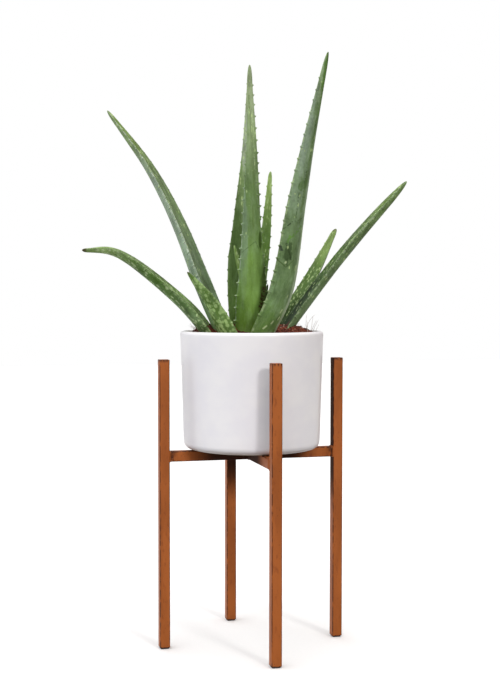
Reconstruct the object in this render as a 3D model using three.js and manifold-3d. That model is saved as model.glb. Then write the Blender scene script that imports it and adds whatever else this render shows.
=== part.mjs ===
// Potted aloe vera: a rosette of toothed, channelled leaves in a white glazed pot, on a welded steel stand.
// Millimetres, +Z up. The origin is on the floor, on the axis of the pot and of the stand.
import * as THREE from "three";
import { ParametricGeometry } from "three/addons/geometries/ParametricGeometry.js";
import { mergeVertices, toCreasedNormals } from "three/addons/utils/BufferGeometryUtils.js";
import Module from "manifold-3d";

// Driving dimensions of the stand
const LEG_HEIGHT = 356;
const LEG_SPACING = 222;
const TUBE = 12.7;
const TUBE_WALL = 1.4;
const TUBE_CORNER = 1.3;
const BORE_CORNER = 0.4;
const LEG_TOP_EASE = 0.7;
const BAR_UNDERSIDE = 231;
const FOOT_CAP_WIDTH = 10.6;
const FOOT_CAP_HEIGHT = 1.8;
const FOOT_PLUG_LENGTH = 12;

// Driving dimensions of the pot
const RIM_DIAMETER = 177;
const BASE_DIAMETER = 168.6;
const POT_HEIGHT = 146.6;
const POT_WALL = 7;
const POT_FLOOR = 9;
const POT_LOWER_EDGE = 9;
const POT_INNER_CORNER = 8;
const FOOT_RING_RADIUS = 70;
const FOOT_RING_WIDTH = 6;
const FOOT_RING_HEIGHT = 1.4;
const RIM_OUTER_EDGE = 4;
const RIM_INNER_EDGE = 2.5;
const POT_SEGMENTS = 40;

// Driving dimensions of the soil and the stem. Heights are from the rim of the pot.
const SOIL_AT_WALL = -8;
const SOIL_TOP = 7;
const SOIL_FRONT_DIP = 10;
const SOIL_DIP_EDGES = [-5, 25];
const SOIL_EDGE_POWER = 7;
const SOIL_LOWER_EDGE = 8;
const SOIL_LUMP = 1.2;
const SOIL_RINGS = [0.93, 0.84, 0.7, 0.5, 0.28, 0];
const SOIL_SEGMENTS = 34;
const STEM_CENTRE = [-5, 2];
const STEM_TOP = -34;
const STEM_FOOT = -98;
const STEM_RADIUS = 12;
const STEM_ROOT_LENGTH = 22;
const STEM_TOP_LENGTH = 5;
const STEM_SEGMENTS = 16;

// Driving dimensions of the leaves
const PLANT_TURN = -14.7;
const CHANNEL_SHARE = 0.09;
const BACK_SHARE = 0.34;
const TIP_RIDGE_SHARE = 0.1;
const TIP_BACK_SHARE = 0.08;
const NECK_SHARE = 0.8;
const TIP_BLEND = 6;
const RINGS_AT_LEAST = 5;
const RINGS_PER_POINT = 2.2;
const RING_CROWDING = 0.5;
const TOOTH_SPACING = 17;
const TOOTH_LENGTH = 2.6;
const TOOTH_SUNK = 2.2;
const TOOTH_RADIUS = 2.3;
const TOOTH_FLATNESS = 0.5;
const TOOTH_LEAN = 0.35;
const FIRST_TOOTH = 0.18;
const LAST_TOOTH = 0.93;
const BARE_ABOVE_SOIL = 5;
const GAP = 0.3;

// Each leaf: the points in mm that its middle line passes, from the stem to the tip, counted from the centre
// of the rim with the plant's front at -Y. width is its widest, belly where along it that comes. fullness and
// bluntness shape the taper, and tip is the width and the length of its rounded end. back is the compass
// direction in degrees, at the stem and at the tip, that its rounded back faces. teeth are their sizes on its
// two margins. Inner leaves come first, outer ones make way.
const LEAVES = {
  leaf_young_left: {
    path: [[-7, 5, -36], [-9, 6, 12], [-12, 7, 60], [-22, 8, 106]],
    width: 17, belly: 0.5, fullness: 1.2, bluntness: 0.45, tip: [4, 8],
    back: [200, 200], teeth: [0.5, 0.5],
  },
  leaf_young_right: {
    path: [[1, 5, -36], [8, 6, -4], [15, 7, 28], [20, 8, 58]],
    width: 13, belly: 0.3, fullness: 1.4, bluntness: 0.45, tip: [4, 7],
    back: [350, 350], teeth: [0, 0],
  },
  leaf_front_centre: {
    path: [[-5, -10, -46], [0, -14, 35], [0, -14, 114], [-2.2, -9, 190], [-4, -2, 274]],
    width: 40, belly: 0.26, fullness: 0.8, bluntness: 0.88, tip: [4.5, 10],
    back: [270, 270], teeth: [1, 0.9],
  },
  leaf_tall_back: {
    path: [[-5, 14, -48], [-10, 24, 49], [-6, 30, 147], [-3, 34, 229], [-3, 38, 334]],
    width: 42, belly: 0.36, fullness: 0.8, bluntness: 0.74, tip: [6.5, 20],
    back: [92, 92], teeth: [1, 0.4],
  },
  leaf_tall_left: {
    path: [[-18, 3, -52], [-61, 3, 47], [-94, 12, 132], [-131, 22, 206], [-182, 34, 276]],
    width: 46, belly: 0.27, fullness: 0.9, bluntness: 0.56, tip: [10, 21],
    back: [166, 162], teeth: [0.6, 0.6],
  },
  leaf_tall_right: {
    path: [[2, -12, -60], [14, -26, -12], [41, -33, 52], [57, -42, 154], [70, -54, 231], [90, -64, 331]],
    width: 37, belly: 0.4, fullness: 1, bluntness: 0.66, tip: [8.2, 25],
    back: [306, 310], teeth: [0.8, 0.5],
  },
  leaf_short_front: {
    path: [[-14, -11, -58], [-29, -30, -12], [-50, -44, 33], [-77, -58, 72]],
    width: 31, belly: 0.31, fullness: 1.2, bluntness: 0.64, tip: [6, 10],
    back: [236, 232], teeth: [0.5, 0.5],
  },
  leaf_narrow_back: {
    path: [[0, 16, -60], [7, 44, 26], [18, 56, 116], [24, 66, 203]],
    width: 20, belly: 0.29, fullness: 1.2, bluntness: 0.59, tip: [5.6, 12],
    back: [75, 70], teeth: [0.7, 0.7],
  },
  leaf_short_right: {
    path: [[6, 10, -60], [41, 38, 2], [79, 56, 68], [109, 74, 130]],
    width: 30, belly: 0.31, fullness: 1.3, bluntness: 0.6, tip: [9.6, 12],
    back: [45, 45], teeth: [0.7, 0.7],
  },
  leaf_long_right: {
    path: [[9, 2, -66], [44, 10, -3], [93, 22, 65], [140, 36, 125], [197, 50, 189]],
    width: 34, belly: 0.41, fullness: 2, bluntness: 0.45, tip: [8, 30],
    back: [12, 10], teeth: [0.6, 0.6],
  },
  leaf_low_left: {
    path: [[-19, -1, -66], [-59, -6, 0], [-102, -12, 47], [-162, -18, 94], [-207, -24, 99]],
    width: 43, belly: 0.35, fullness: 1.1, bluntness: 0.64, tip: [10, 10],
    back: [176, 172], teeth: [0.5, 0.5],
  },
};

// Sizes worked out from the driving dimensions
const BAR_TOP = BAR_UNDERSIDE + TUBE;
const RIM_HEIGHT = BAR_TOP + POT_HEIGHT;
const LEG_CENTRE = LEG_SPACING / 2;
const BAR_REACH = LEG_CENTRE - TUBE / 2;

const wasm = await Module();
wasm.setup();

// A lathe turns its profile round Y. This stands it up on Z.
const UPRIGHT = new THREE.Matrix4().makeRotationX(Math.PI / 2);

const material = (color, roughness, metalness = 0) =>
  new THREE.MeshStandardMaterial({ color, roughness, metalness });

const COPPER_PAINT = material(0x9c5a33, 0.5, 0.25);
const BLACK_PLASTIC = material(0x241d1a, 0.7);
const WHITE_GLAZE = material(0xe8e5eb, 0.35);
const SOIL_BROWN = material(0x6a4433, 0.95);
const STEM_TAN = material(0xa48b62, 0.85);
const LEAF_GREEN = material(0x6a8649, 0.5);
const DARK_LEAF_GREEN = material(0x4f6a33, 0.5);
const SPOTTED_LEAF_GREEN = material(0x667c53, 0.55);

// A closed three.js geometry as a manifold-3d solid.
function toSolid(geometry, matrix = new THREE.Matrix4()) {
  const bare = new THREE.BufferGeometry();
  bare.setAttribute("position", geometry.getAttribute("position").clone());
  bare.setIndex(geometry.index ? geometry.index.clone() : null);
  bare.applyMatrix4(matrix);
  const merged = mergeVertices(bare, 1e-4);
  const corners = [];
  for (let i = 0; i < merged.index.count; i += 3) {
    const [a, b, c] = [0, 1, 2].map((k) => merged.index.getX(i + k));
    if (a !== b && b !== c && c !== a) corners.push(a, b, c);
  }
  return new wasm.Manifold(
    new wasm.Mesh({
      numProp: 3,
      vertProperties: merged.attributes.position.array,
      triVerts: new Uint32Array(corners),
    }),
  );
}

// The largest body of a solid as a named mesh: a cut can leave a loose scrap, which is dropped.
function toMesh(solid, name, meshMaterial) {
  const [largest] = solid.decompose().sort((a, b) => b.volume() - a.volume());
  const { vertProperties, triVerts } = largest.getMesh();
  const geometry = new THREE.BufferGeometry();
  geometry.setAttribute("position", new THREE.BufferAttribute(vertProperties, 3));
  geometry.setIndex(new THREE.BufferAttribute(triVerts, 1));
  const mesh = new THREE.Mesh(toCreasedNormals(geometry, THREE.MathUtils.degToRad(35)), meshMaterial);
  mesh.name = name;
  return mesh;
}

const boxAt = (x, y, z, position) =>
  toSolid(new THREE.BoxGeometry(x, y, z), new THREE.Matrix4().makeTranslation(...position));

// A square with rounded corners, the section of the stand's steel tube.
function squareShape(side, corner) {
  const h = side / 2;
  const shape = new THREE.Shape();
  shape.moveTo(h, -h + corner);
  shape.absarc(h - corner, h - corner, corner, 0, Math.PI / 2);
  shape.absarc(-h + corner, h - corner, corner, Math.PI / 2, Math.PI);
  shape.absarc(-h + corner, -h + corner, corner, Math.PI, 1.5 * Math.PI);
  shape.absarc(h - corner, -h + corner, corner, 1.5 * Math.PI, 2 * Math.PI);
  return shape;
}

// A leg is a tube closed at its top with its edges eased, open below for its foot cap.
function legSolid() {
  const outside = new THREE.ExtrudeGeometry(squareShape(TUBE, TUBE_CORNER), {
    depth: LEG_HEIGHT - FOOT_CAP_HEIGHT - 2 * LEG_TOP_EASE,
    curveSegments: 2,
    bevelSegments: 1,
    bevelThickness: LEG_TOP_EASE,
    bevelSize: LEG_TOP_EASE,
    bevelOffset: -LEG_TOP_EASE,
  });
  const boreTop = LEG_HEIGHT - TUBE_WALL;
  const boreSide = TUBE - 2 * TUBE_WALL;
  const lift = new THREE.Matrix4().makeTranslation(0, 0, FOOT_CAP_HEIGHT + LEG_TOP_EASE);
  return toSolid(outside, lift).subtract(boxAt(boreSide, boreSide, boreTop, [0, 0, boreTop / 2]));
}

// A foot cap is a square pad under the tube's end with a plug that stands up inside its bore.
function footCapSolid() {
  const plugSide = TUBE - 2 * TUBE_WALL - 2 * GAP;
  const plugHeight = FOOT_CAP_HEIGHT + FOOT_PLUG_LENGTH;
  return boxAt(FOOT_CAP_WIDTH, FOOT_CAP_WIDTH, FOOT_CAP_HEIGHT, [0, 0, FOOT_CAP_HEIGHT / 2]).add(
    boxAt(plugSide, plugSide, plugHeight, [0, 0, plugHeight / 2]),
  );
}

// A bar is a length of the same tube, open at both ends, lying along X from 0.
function barSolid(length) {
  const shape = squareShape(TUBE, TUBE_CORNER);
  const bore = squareShape(TUBE - 2 * TUBE_WALL, BORE_CORNER);
  shape.holes.push(bore);
  const tube = new THREE.ExtrudeGeometry(shape, { depth: length, curveSegments: 1, bevelEnabled: false });
  return toSolid(tube, new THREE.Matrix4().makeRotationY(Math.PI / 2));
}

function buildStand() {
  const stand = new THREE.Group();
  const places = { left: [-1, 0], right: [1, 0], front: [0, -1], back: [0, 1] };
  for (const [side, [x, y]] of Object.entries(places)) {
    const leg = toMesh(legSolid(), `leg_${side}`, COPPER_PAINT);
    const cap = toMesh(footCapSolid(), `foot_cap_${side}`, BLACK_PLASTIC);
    for (const mesh of [leg, cap]) mesh.position.set(x * LEG_CENTRE, y * LEG_CENTRE, 0);
    stand.add(leg, cap);
  }
  const barHeight = BAR_UNDERSIDE + TUBE / 2;
  const across = toMesh(barSolid(2 * BAR_REACH), "cross_bar", COPPER_PAINT);
  across.position.set(-BAR_REACH, 0, barHeight);
  stand.add(across);
  for (const [side, turn] of [["front", -Math.PI / 2], ["back", Math.PI / 2]]) {
    const halfBar = toMesh(barSolid(BAR_REACH - TUBE / 2), `cross_bar_${side}`, COPPER_PAINT);
    halfBar.position.set(0, Math.sign(turn) * (TUBE / 2), barHeight);
    halfBar.rotation.z = turn;
    stand.add(halfBar);
  }
  return stand;
}

// The pot's outer radius at a height above its foot.
const potRadius = (height) =>
  THREE.MathUtils.lerp(BASE_DIAMETER / 2, RIM_DIAMETER / 2, height / POT_HEIGHT);

// The pot is turned from one profile: foot ring, rounded lower edge, flared wall, rounded rim, inside.
function potSolid() {
  const outerCorner = potRadius(0) - POT_LOWER_EDGE;
  const innerWall = potRadius(POT_FLOOR) - POT_WALL;
  const profile = new THREE.Path();
  profile.moveTo(0, FOOT_RING_HEIGHT);
  profile.lineTo(FOOT_RING_RADIUS - FOOT_RING_WIDTH, FOOT_RING_HEIGHT);
  profile.lineTo(FOOT_RING_RADIUS - FOOT_RING_WIDTH, 0);
  profile.lineTo(FOOT_RING_RADIUS, 0);
  profile.lineTo(FOOT_RING_RADIUS, FOOT_RING_HEIGHT);
  profile.absarc(outerCorner, FOOT_RING_HEIGHT + POT_LOWER_EDGE, POT_LOWER_EDGE, -Math.PI / 2, 0);
  const rimRadius = RIM_DIAMETER / 2;
  profile.absarc(rimRadius - RIM_OUTER_EDGE, POT_HEIGHT - RIM_OUTER_EDGE, RIM_OUTER_EDGE, 0, Math.PI / 2);
  const rimInside = [rimRadius - POT_WALL + RIM_INNER_EDGE, POT_HEIGHT - RIM_INNER_EDGE];
  profile.absarc(...rimInside, RIM_INNER_EDGE, Math.PI / 2, Math.PI);
  const innerCentre = [innerWall - POT_INNER_CORNER, POT_FLOOR + POT_INNER_CORNER];
  profile.absarc(...innerCentre, POT_INNER_CORNER, 0, -Math.PI / 2, true);
  profile.lineTo(0, POT_FLOOR);
  const turned = new THREE.LatheGeometry(profile.getPoints(2), POT_SEGMENTS);
  return toSolid(turned, UPRIGHT);
}

// Repeatable draws from 0 to 1, so that every build grows the same plant.
function seededRandom(seed) {
  let state = seed;
  return () => {
    state = (state * 1664525 + 1013904223) % 4294967296;
    return state / 4294967296;
  };
}

// The soil fills the pot up to a low lumpy mound that dips at the front. Heights are from the rim.
function soilSolid() {
  const random = seededRandom(7);
  const foot = POT_FLOOR - POT_HEIGHT + GAP;
  const wallAt = (z) => potRadius(z + POT_HEIGHT) - POT_WALL - GAP;
  const profile = [
    new THREE.Vector2(0, foot),
    new THREE.Vector2(wallAt(foot) - SOIL_LOWER_EDGE, foot),
    new THREE.Vector2(wallAt(foot) - 0.3 * SOIL_LOWER_EDGE, foot + 0.3 * SOIL_LOWER_EDGE),
    new THREE.Vector2(wallAt(foot), foot + SOIL_LOWER_EDGE),
    new THREE.Vector2(wallAt(SOIL_AT_WALL), SOIL_AT_WALL),
  ];
  for (const share of SOIL_RINGS) {
    profile.push(new THREE.Vector2(share * wallAt(0), SOIL_TOP));
  }
  const bare = new THREE.LatheGeometry(profile, SOIL_SEGMENTS);
  bare.deleteAttribute("uv").deleteAttribute("normal").applyMatrix4(UPRIGHT);
  const turned = mergeVertices(bare);
  const points = turned.getAttribute("position");
  for (let i = 0; i < points.count; i += 1) {
    const share = Math.hypot(points.getX(i), points.getY(i)) / wallAt(0);
    if (points.getZ(i) === SOIL_TOP) {
      const fall = share ** SOIL_EDGE_POWER;
      const dome = SOIL_TOP + (SOIL_AT_WALL - SOIL_TOP) * fall;
      const front = THREE.MathUtils.smoothstep(-points.getY(i), ...SOIL_DIP_EDGES);
      const dip = SOIL_FRONT_DIP * front * (1 - fall);
      points.setZ(i, dome - dip + SOIL_LUMP * (2 * random() - 1));
    }
  }
  return toSolid(turned);
}

// The short stem that the leaves clasp, tapered to its root, larger all round by grow.
function stemSolid(grow = 0) {
  const profile = [
    new THREE.Vector2(0, STEM_FOOT - grow),
    new THREE.Vector2(0.45 * STEM_RADIUS + grow, STEM_FOOT - grow),
    new THREE.Vector2(0.95 * STEM_RADIUS + grow, STEM_FOOT + STEM_ROOT_LENGTH),
    new THREE.Vector2(STEM_RADIUS + grow, STEM_TOP - STEM_TOP_LENGTH),
    new THREE.Vector2(0.7 * STEM_RADIUS + grow, STEM_TOP + grow),
    new THREE.Vector2(0, STEM_TOP + grow),
  ];
  const place = new THREE.Matrix4().makeTranslation(...STEM_CENTRE, 0).multiply(UPRIGHT);
  return toSolid(new THREE.LatheGeometry(profile, STEM_SEGMENTS), place);
}

// The length of a leaf along the straight lines between the points of its path.
const pathLength = (path) =>
  path.slice(1).reduce((sum, point, i) => sum + Math.hypot(...point.map((c, k) => c - path[i][k])), 0);

// The width of a leaf at t, from 0 at the stem to 1 at the tip: a neck, a belly, a taper and a rounded end.
function leafWidth({ path, width, belly, fullness, bluntness, tip }, t) {
  if (t < belly) return width * (NECK_SHARE + (1 - NECK_SHARE) * Math.sin((Math.PI / 2) * (t / belly)));
  const taper = width * Math.max(1 - ((t - belly) / (1 - belly)) ** fullness, 0) ** bluntness;
  const [endWidth, endLength] = tip;
  const intoEnd = Math.max(1 - ((1 - t) * pathLength(path)) / endLength, 0);
  const end = endWidth * Math.sqrt(Math.max(1 - intoEnd ** 2, 0));
  return (taper ** TIP_BLEND + end ** TIP_BLEND) ** (1 / TIP_BLEND);
}

// The smooth middle line of a leaf through the points of its path.
function leafCurve({ path }) {
  return new THREE.CatmullRomCurve3(path.map((point) => new THREE.Vector3(...point)), false, "catmullrom");
}

// The middle point of a leaf at t, with its directions: along it, across it, and out of its channelled face.
function leafFrame(leaf, t) {
  const curve = leafCurve(leaf);
  const centre = curve.getPoint(t);
  const along = curve.getTangent(t);
  const compass = THREE.MathUtils.degToRad(THREE.MathUtils.lerp(...leaf.back, t));
  const across = new THREE.Vector3(-Math.sin(compass), Math.cos(compass), 0);
  across.addScaledVector(along, -across.dot(along)).normalize();
  const face = new THREE.Vector3().crossVectors(along, across);
  return { centre, along, across, face };
}

// The section of a leaf at t is a crescent: a channelled face, a rounded back and two sharp margins. u runs
// round it from 0 to 1, and the channel turns into a low ridge towards the tip.
const FACE_STEPS = 4;
const BACK_STEPS = 6;
function sectionPoint(leaf, t, u, grow) {
  const width = leafWidth(leaf, t);
  const channel = CHANNEL_SHARE * (1 - THREE.MathUtils.smoothstep(t, 0.3, 0.9));
  const depth = channel - TIP_RIDGE_SHARE * THREE.MathUtils.smoothstep(t, 0.5, 1);
  const back = BACK_SHARE + TIP_BACK_SHARE * THREE.MathUtils.smoothstep(t, 0.4, 1);
  const middle = ((back + depth) / 2) * width;
  const step = Math.round(u * (FACE_STEPS + BACK_STEPS));
  const onFace = step <= FACE_STEPS;
  const side = onFace
    ? -1 + (2 * step) / FACE_STEPS
    : Math.cos((Math.PI * (step - FACE_STEPS)) / BACK_STEPS);
  const height = onFace
    ? -depth * width * (1 - side ** 2) + grow
    : -back * width * Math.max(1 - Math.abs(side) ** 2.2, 0) ** 0.8 - grow;
  return [(width / 2 + grow) * side, height + middle];
}

// A leaf's blade, larger all round by grow. It is cut flat at the stem, and its rings crowd to the tip.
function bladeSolid(leaf, grow = 0) {
  const around = FACE_STEPS + BACK_STEPS;
  const rings = Math.round(RINGS_AT_LEAST + RINGS_PER_POINT * leaf.path.length);
  const blade = new ParametricGeometry(
    (u, v, target) => {
      const ring = Math.round(v * (rings + 1));
      const share = Math.min(Math.max(ring - 1, 0) / rings, 1);
      const t = share * (1 + RING_CROWDING - RING_CROWDING * share);
      const { centre, along, across, face } = leafFrame(leaf, t);
      target.copy(centre);
      if (ring <= 1) target.addScaledVector(along, -grow);
      if (ring === rings + 1) target.addScaledVector(along, 2 * grow);
      if (ring === 0 || ring === rings + 1) return;
      const [side, height] = sectionPoint(leaf, t, (1 - u) % 1, grow);
      target.addScaledVector(across, side).addScaledVector(face, height);
    },
    around,
    rings + 1,
  );
  return toSolid(blade);
}

// The margin teeth of a leaf: small flattened spikes that lean to the tip, closer and smaller towards it.
function leafTeeth(leaf, random) {
  const length = leafCurve(leaf).getLength();
  const teeth = [];
  for (const margin of [-1, 1]) {
    const largest = leaf.teeth[margin < 0 ? 0 : 1];
    let t = FIRST_TOOTH + 0.03 * random();
    while (largest > 0 && t < LAST_TOOTH) {
      const { centre, along, across, face } = leafFrame(leaf, t);
      const size = largest * (0.6 + 0.4 * (leafWidth(leaf, t) / leaf.width));
      const marginPlace = margin < 0 ? 0 : FACE_STEPS / (FACE_STEPS + BACK_STEPS);
      const [side, height] = sectionPoint(leaf, t, marginPlace, 0);
      const out = across.clone().multiplyScalar(margin).addScaledVector(along, TOOTH_LEAN).normalize();
      const radius = TOOTH_RADIUS * (0.5 + 0.5 * size);
      const spike = new THREE.ConeGeometry(radius, TOOTH_LENGTH * size + TOOTH_SUNK, 4);
      const middle = (TOOTH_LENGTH * size - TOOTH_SUNK) / 2;
      const place = centre.addScaledVector(across, side).addScaledVector(face, height);
      place.addScaledVector(out, middle);
      const flat = new THREE.Vector3().crossVectors(along, out).normalize();
      const lie = new THREE.Vector3().crossVectors(out, flat);
      const turn = new THREE.Matrix4().makeBasis(lie, out, flat.multiplyScalar(TOOTH_FLATNESS));
      turn.setPosition(place);
      if (place.z > SOIL_TOP + SOIL_LUMP + BARE_ABOVE_SOIL) teeth.push(toSolid(spike, turn));
      t += (TOOTH_SPACING * (1 - 0.25 * t) * (0.8 + 0.4 * random())) / length;
    }
  }
  return teeth;
}

const boxesMeet = (a, b) => [0, 1, 2].every((k) => a.min[k] < b.max[k] && b.min[k] < a.max[k]);
const meets = (a, b) => boxesMeet(a.boundingBox(), b.boundingBox()) && a.intersect(b).volume() > 0;

// The leaves, each trimmed where an inner leaf or the stem comes first, and toothed where its margin is free.
function buildPlant() {
  const random = seededRandom(11);
  const plant = new THREE.Group();
  const names = Object.keys(LEAVES);
  const blades = new Map(names.map((name) => [name, bladeSolid(LEAVES[name])]));
  const grown = new Map(names.map((name) => [name, bladeSolid(LEAVES[name], GAP)]));
  const grownStem = stemSolid(GAP);
  let holes = grownStem;
  names.forEach((name, order) => {
    let leaf = blades.get(name).subtract(grownStem);
    for (const inner of names.slice(0, order)) {
      if (meets(leaf, grown.get(inner))) leaf = leaf.subtract(grown.get(inner));
    }
    for (const tooth of leafTeeth(LEAVES[name], random)) {
      const free = names.every((other) => other === name || !meets(tooth, grown.get(other)));
      if (free) leaf = leaf.add(tooth);
    }
    const spotted = ["leaf_short_front", "leaf_low_left", "leaf_short_right"].includes(name);
    const shaded = ["leaf_tall_back", "leaf_narrow_back", "leaf_young_right"].includes(name);
    const green = spotted ? SPOTTED_LEAF_GREEN : shaded ? DARK_LEAF_GREEN : LEAF_GREEN;
    plant.add(toMesh(leaf, name, green));
    holes = holes.add(grown.get(name));
  });
  plant.add(toMesh(stemSolid(), "stem", STEM_TAN));
  plant.add(toMesh(soilSolid().subtract(holes), "soil", SOIL_BROWN));
  plant.position.z = RIM_HEIGHT;
  plant.rotation.z = THREE.MathUtils.degToRad(PLANT_TURN);
  return plant;
}

const pot = toMesh(potSolid(), "pot", WHITE_GLAZE);
pot.position.z = BAR_TOP;

const pottedAloe = new THREE.Group();
pottedAloe.add(buildStand(), pot, buildPlant());

export default pottedAloe;
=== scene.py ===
# %% [markdown]
# A potted aloe vera on a welded stand
# The plant is a rosette of eleven thick leaves with toothed margins. It grows in a white glazed pot, and the
# pot stands on a cross of square steel tube between four legs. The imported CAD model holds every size, so
# this script starts from it, and makes a finer piece or a finish for each of its nodes.

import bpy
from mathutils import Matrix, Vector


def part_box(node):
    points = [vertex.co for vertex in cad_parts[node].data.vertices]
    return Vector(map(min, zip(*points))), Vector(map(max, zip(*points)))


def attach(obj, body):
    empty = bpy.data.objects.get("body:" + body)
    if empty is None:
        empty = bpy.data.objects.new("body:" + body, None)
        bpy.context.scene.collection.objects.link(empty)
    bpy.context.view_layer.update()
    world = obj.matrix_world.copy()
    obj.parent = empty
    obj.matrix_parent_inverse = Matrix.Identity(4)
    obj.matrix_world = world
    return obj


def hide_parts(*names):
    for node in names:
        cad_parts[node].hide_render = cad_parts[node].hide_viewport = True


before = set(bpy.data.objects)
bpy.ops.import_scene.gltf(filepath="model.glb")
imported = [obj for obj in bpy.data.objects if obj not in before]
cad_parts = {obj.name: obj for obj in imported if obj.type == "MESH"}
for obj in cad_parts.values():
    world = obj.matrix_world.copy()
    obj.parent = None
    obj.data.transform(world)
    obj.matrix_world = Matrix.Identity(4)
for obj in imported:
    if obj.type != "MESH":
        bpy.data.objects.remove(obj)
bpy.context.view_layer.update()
print("nodes in the frame:", len(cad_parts))

# %% Tools of the script
import math
import random

import bmesh
import bpy
import numpy as np
from mathutils import Color, Vector, noise

MM = 0.001
print("one millimetre is", MM, "of Blender's metres")

# %% [markdown]
# The view
# The photo was taken a little to the left of the stand's front leg, from about the height of the pot's rim,
# with a long lens. Perspective lines of the four legs fix such a camera: the nearer leg stands lower in the
# picture than the far one. The camera is placed outright, so every render has the photo's framing.

# %% Camera
CAMERA_PLACE = (-0.3978, -1.5205, 0.4377)
CAMERA_ANGLES = (87.4056, -0.0509, -14.5804)
CAMERA_LENS = 65.17

camera = bpy.data.objects.new("camera", bpy.data.cameras.new("camera"))
camera.location = CAMERA_PLACE
camera.rotation_euler = [math.radians(angle) for angle in CAMERA_ANGLES]
camera.data.lens = CAMERA_LENS
bpy.context.scene.collection.objects.link(camera)
bpy.context.scene.camera = camera
camera_compass = math.degrees(math.atan2(CAMERA_PLACE[1], CAMERA_PLACE[0]))
print("the camera looks from compass direction", round(camera_compass, 1))

# %% [markdown]
# Shader sums in Python
# A finish is a graph of nodes, and most of its nodes are sums on numbers that vary over a surface: masks,
# spots and streaks. They could be placed one by one, but then the sums are hard to read. A small class that
# wraps a node's output lets Python's own operators add the Math nodes, so a mask is written as a formula.

# %% A wire between shader nodes
class Wire:
    """An output of a node. Python's operators on it add Math nodes, and node() adds any other node."""

    def __init__(self, tree, socket=None):
        self.tree = tree
        self.socket = socket

    def node(self, kind, settings=None, inputs=None, output=0):
        """Adds a node, with its settings and its inputs' values or wires, and returns one of its outputs."""
        made = self.tree.nodes.new("ShaderNode" + kind)
        for name, value in (settings or {}).items():
            setattr(made, name, value)
        for name, value in (inputs or {}).items():
            if isinstance(value, Wire):
                self.tree.links.new(value.socket, made.inputs[name])
            else:
                made.inputs[name].default_value = value
        return Wire(self.tree, made.outputs[output] if made.outputs else None)

    def other(self, output):
        """Another output of the same node."""
        return Wire(self.tree, self.socket.node.outputs[output])

    def math(self, operation, *values):
        return self.node("Math", {"operation": operation}, dict(enumerate(values)))

    def __add__(self, other):
        return self.math("ADD", self, other)

    def __sub__(self, other):
        return self.math("SUBTRACT", self, other)

    def __rsub__(self, other):
        return self.math("SUBTRACT", other, self)

    def __mul__(self, other):
        return self.math("MULTIPLY", self, other)

    def __abs__(self):
        return self.math("ABSOLUTE", self)

    __radd__ = __add__


# %% Words for the formulas of a finish
def tone(red, green, blue):
    """A colour as a screen shows it, each part from 0 to 255, as the light values that shaders work with."""
    return [*Color((red / 255, green / 255, blue / 255)).from_srgb_to_scene_linear(), 1.0]


def darker(colour, share):
    """The same colour at a share of its brightness."""
    return [*(share * part for part in colour[:3]), 1.0]


def ease(value, low, high):
    """0 below low and 1 above high, with a smooth step between them. A low above high turns it round."""
    return value.node(
        "MapRange",
        {"interpolation_type": "SMOOTHSTEP"},
        {"Value": value, "From Min": low, "From Max": high},
    )


def mix(first, second, share):
    """A colour between two: the first where share is 0, the second where it is 1."""
    return share.node("Mix", {"data_type": "RGBA"}, {0: share, 6: first, 7: second}, 2)


def stretched(place, x, y, z):
    """The same places with each direction scaled, so that a pattern on them is drawn out or squeezed."""
    return place.node("VectorMath", {"operation": "MULTIPLY"}, {0: place, 1: (x, y, z)})


def cloud(place, size, detail=2.0):
    """Soft noise from 0 to 1 whose blotches are about size metres wide."""
    return place.node("TexNoise", {}, {"Vector": place, "Scale": 1 / size, "Detail": detail})


def new_finish(name):
    """A new material with an empty node tree, and a wire from which its nodes start."""
    material = bpy.data.materials.new(name)
    material.use_nodes = True
    material.node_tree.nodes.clear()
    return material, Wire(material.node_tree)


def close_finish(start, inputs):
    """Ends a finish with one Principled surface that has the given values and wires."""
    start.node("OutputMaterial", {}, {"Surface": start.node("BsdfPrincipled", {}, inputs)})


def relief(height, depth, strength):
    """A surface direction that follows a height from 0 to 1, depth metres deep."""
    return height.node("Bump", {}, {"Height": height, "Distance": depth, "Strength": strength})


def surface_place(start):
    """Places on the surface in the frame's metres: every piece's object sits at the origin."""
    return start.node("TexCoord", output="Object")


def height_at(place):
    """The height of each place over the floor."""
    return place.node("SeparateXYZ", {}, {0: place}, "Z")


def stored(start, name):
    """A number that the mesh stores at its points."""
    return start.node("Attribute", {"attribute_name": name}, output="Fac")


def cells(place, size, output):
    """The distance from the middle of irregular cells about size metres wide, or each cell's own colour."""
    return place.node("TexVoronoi", {}, {"Vector": place, "Scale": 1 / size}, output)


def smoothed(value, low, high):
    """The smooth step of ease, for plain numbers and arrays, from low up to high."""
    share = np.clip((value - low) / (high - low), 0, 1)
    return share * share * (3 - 2 * share)


print("a colour word:", [round(part, 3) for part in tone(160, 92, 51)])

# %% [markdown]
# The light
# On the pot the light is broad and comes from the left, and a smaller lamp at the right and front casts the
# soft shadow that the front leg leaves on the pot. A soft light from above brightens the rim, and the light
# from the right is warmer than the rest. A studio like this could be built from glowing panels, but suns and
# a graded surround light every part of the floor alike, so the pale floor has no edge. The floor throws no
# light back: the surround below it does, and it is dimmer straight below.

# %% Directions and lamps
def toward(turn, height):
    """The direction to a lamp, turn degrees to the right of the camera as seen from the pot, height up."""
    compass = math.radians(camera_compass + turn)
    rise = math.radians(height)
    flat = math.cos(rise)
    return Vector((flat * math.cos(compass), flat * math.sin(compass), math.sin(rise)))


def add_lamp(name, turn, height, spread, strength, colour):
    """A sun whose disc is spread degrees wide, so a wide one casts soft shadows."""
    lamp = bpy.data.objects.new(name, bpy.data.lights.new(name, "SUN"))
    lamp.rotation_euler = toward(turn, height).to_track_quat("Z", "Y").to_euler()
    lamp.data.angle = math.radians(spread)
    lamp.data.energy = strength
    lamp.data.color = colour
    bpy.context.scene.collection.objects.link(lamp)


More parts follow.
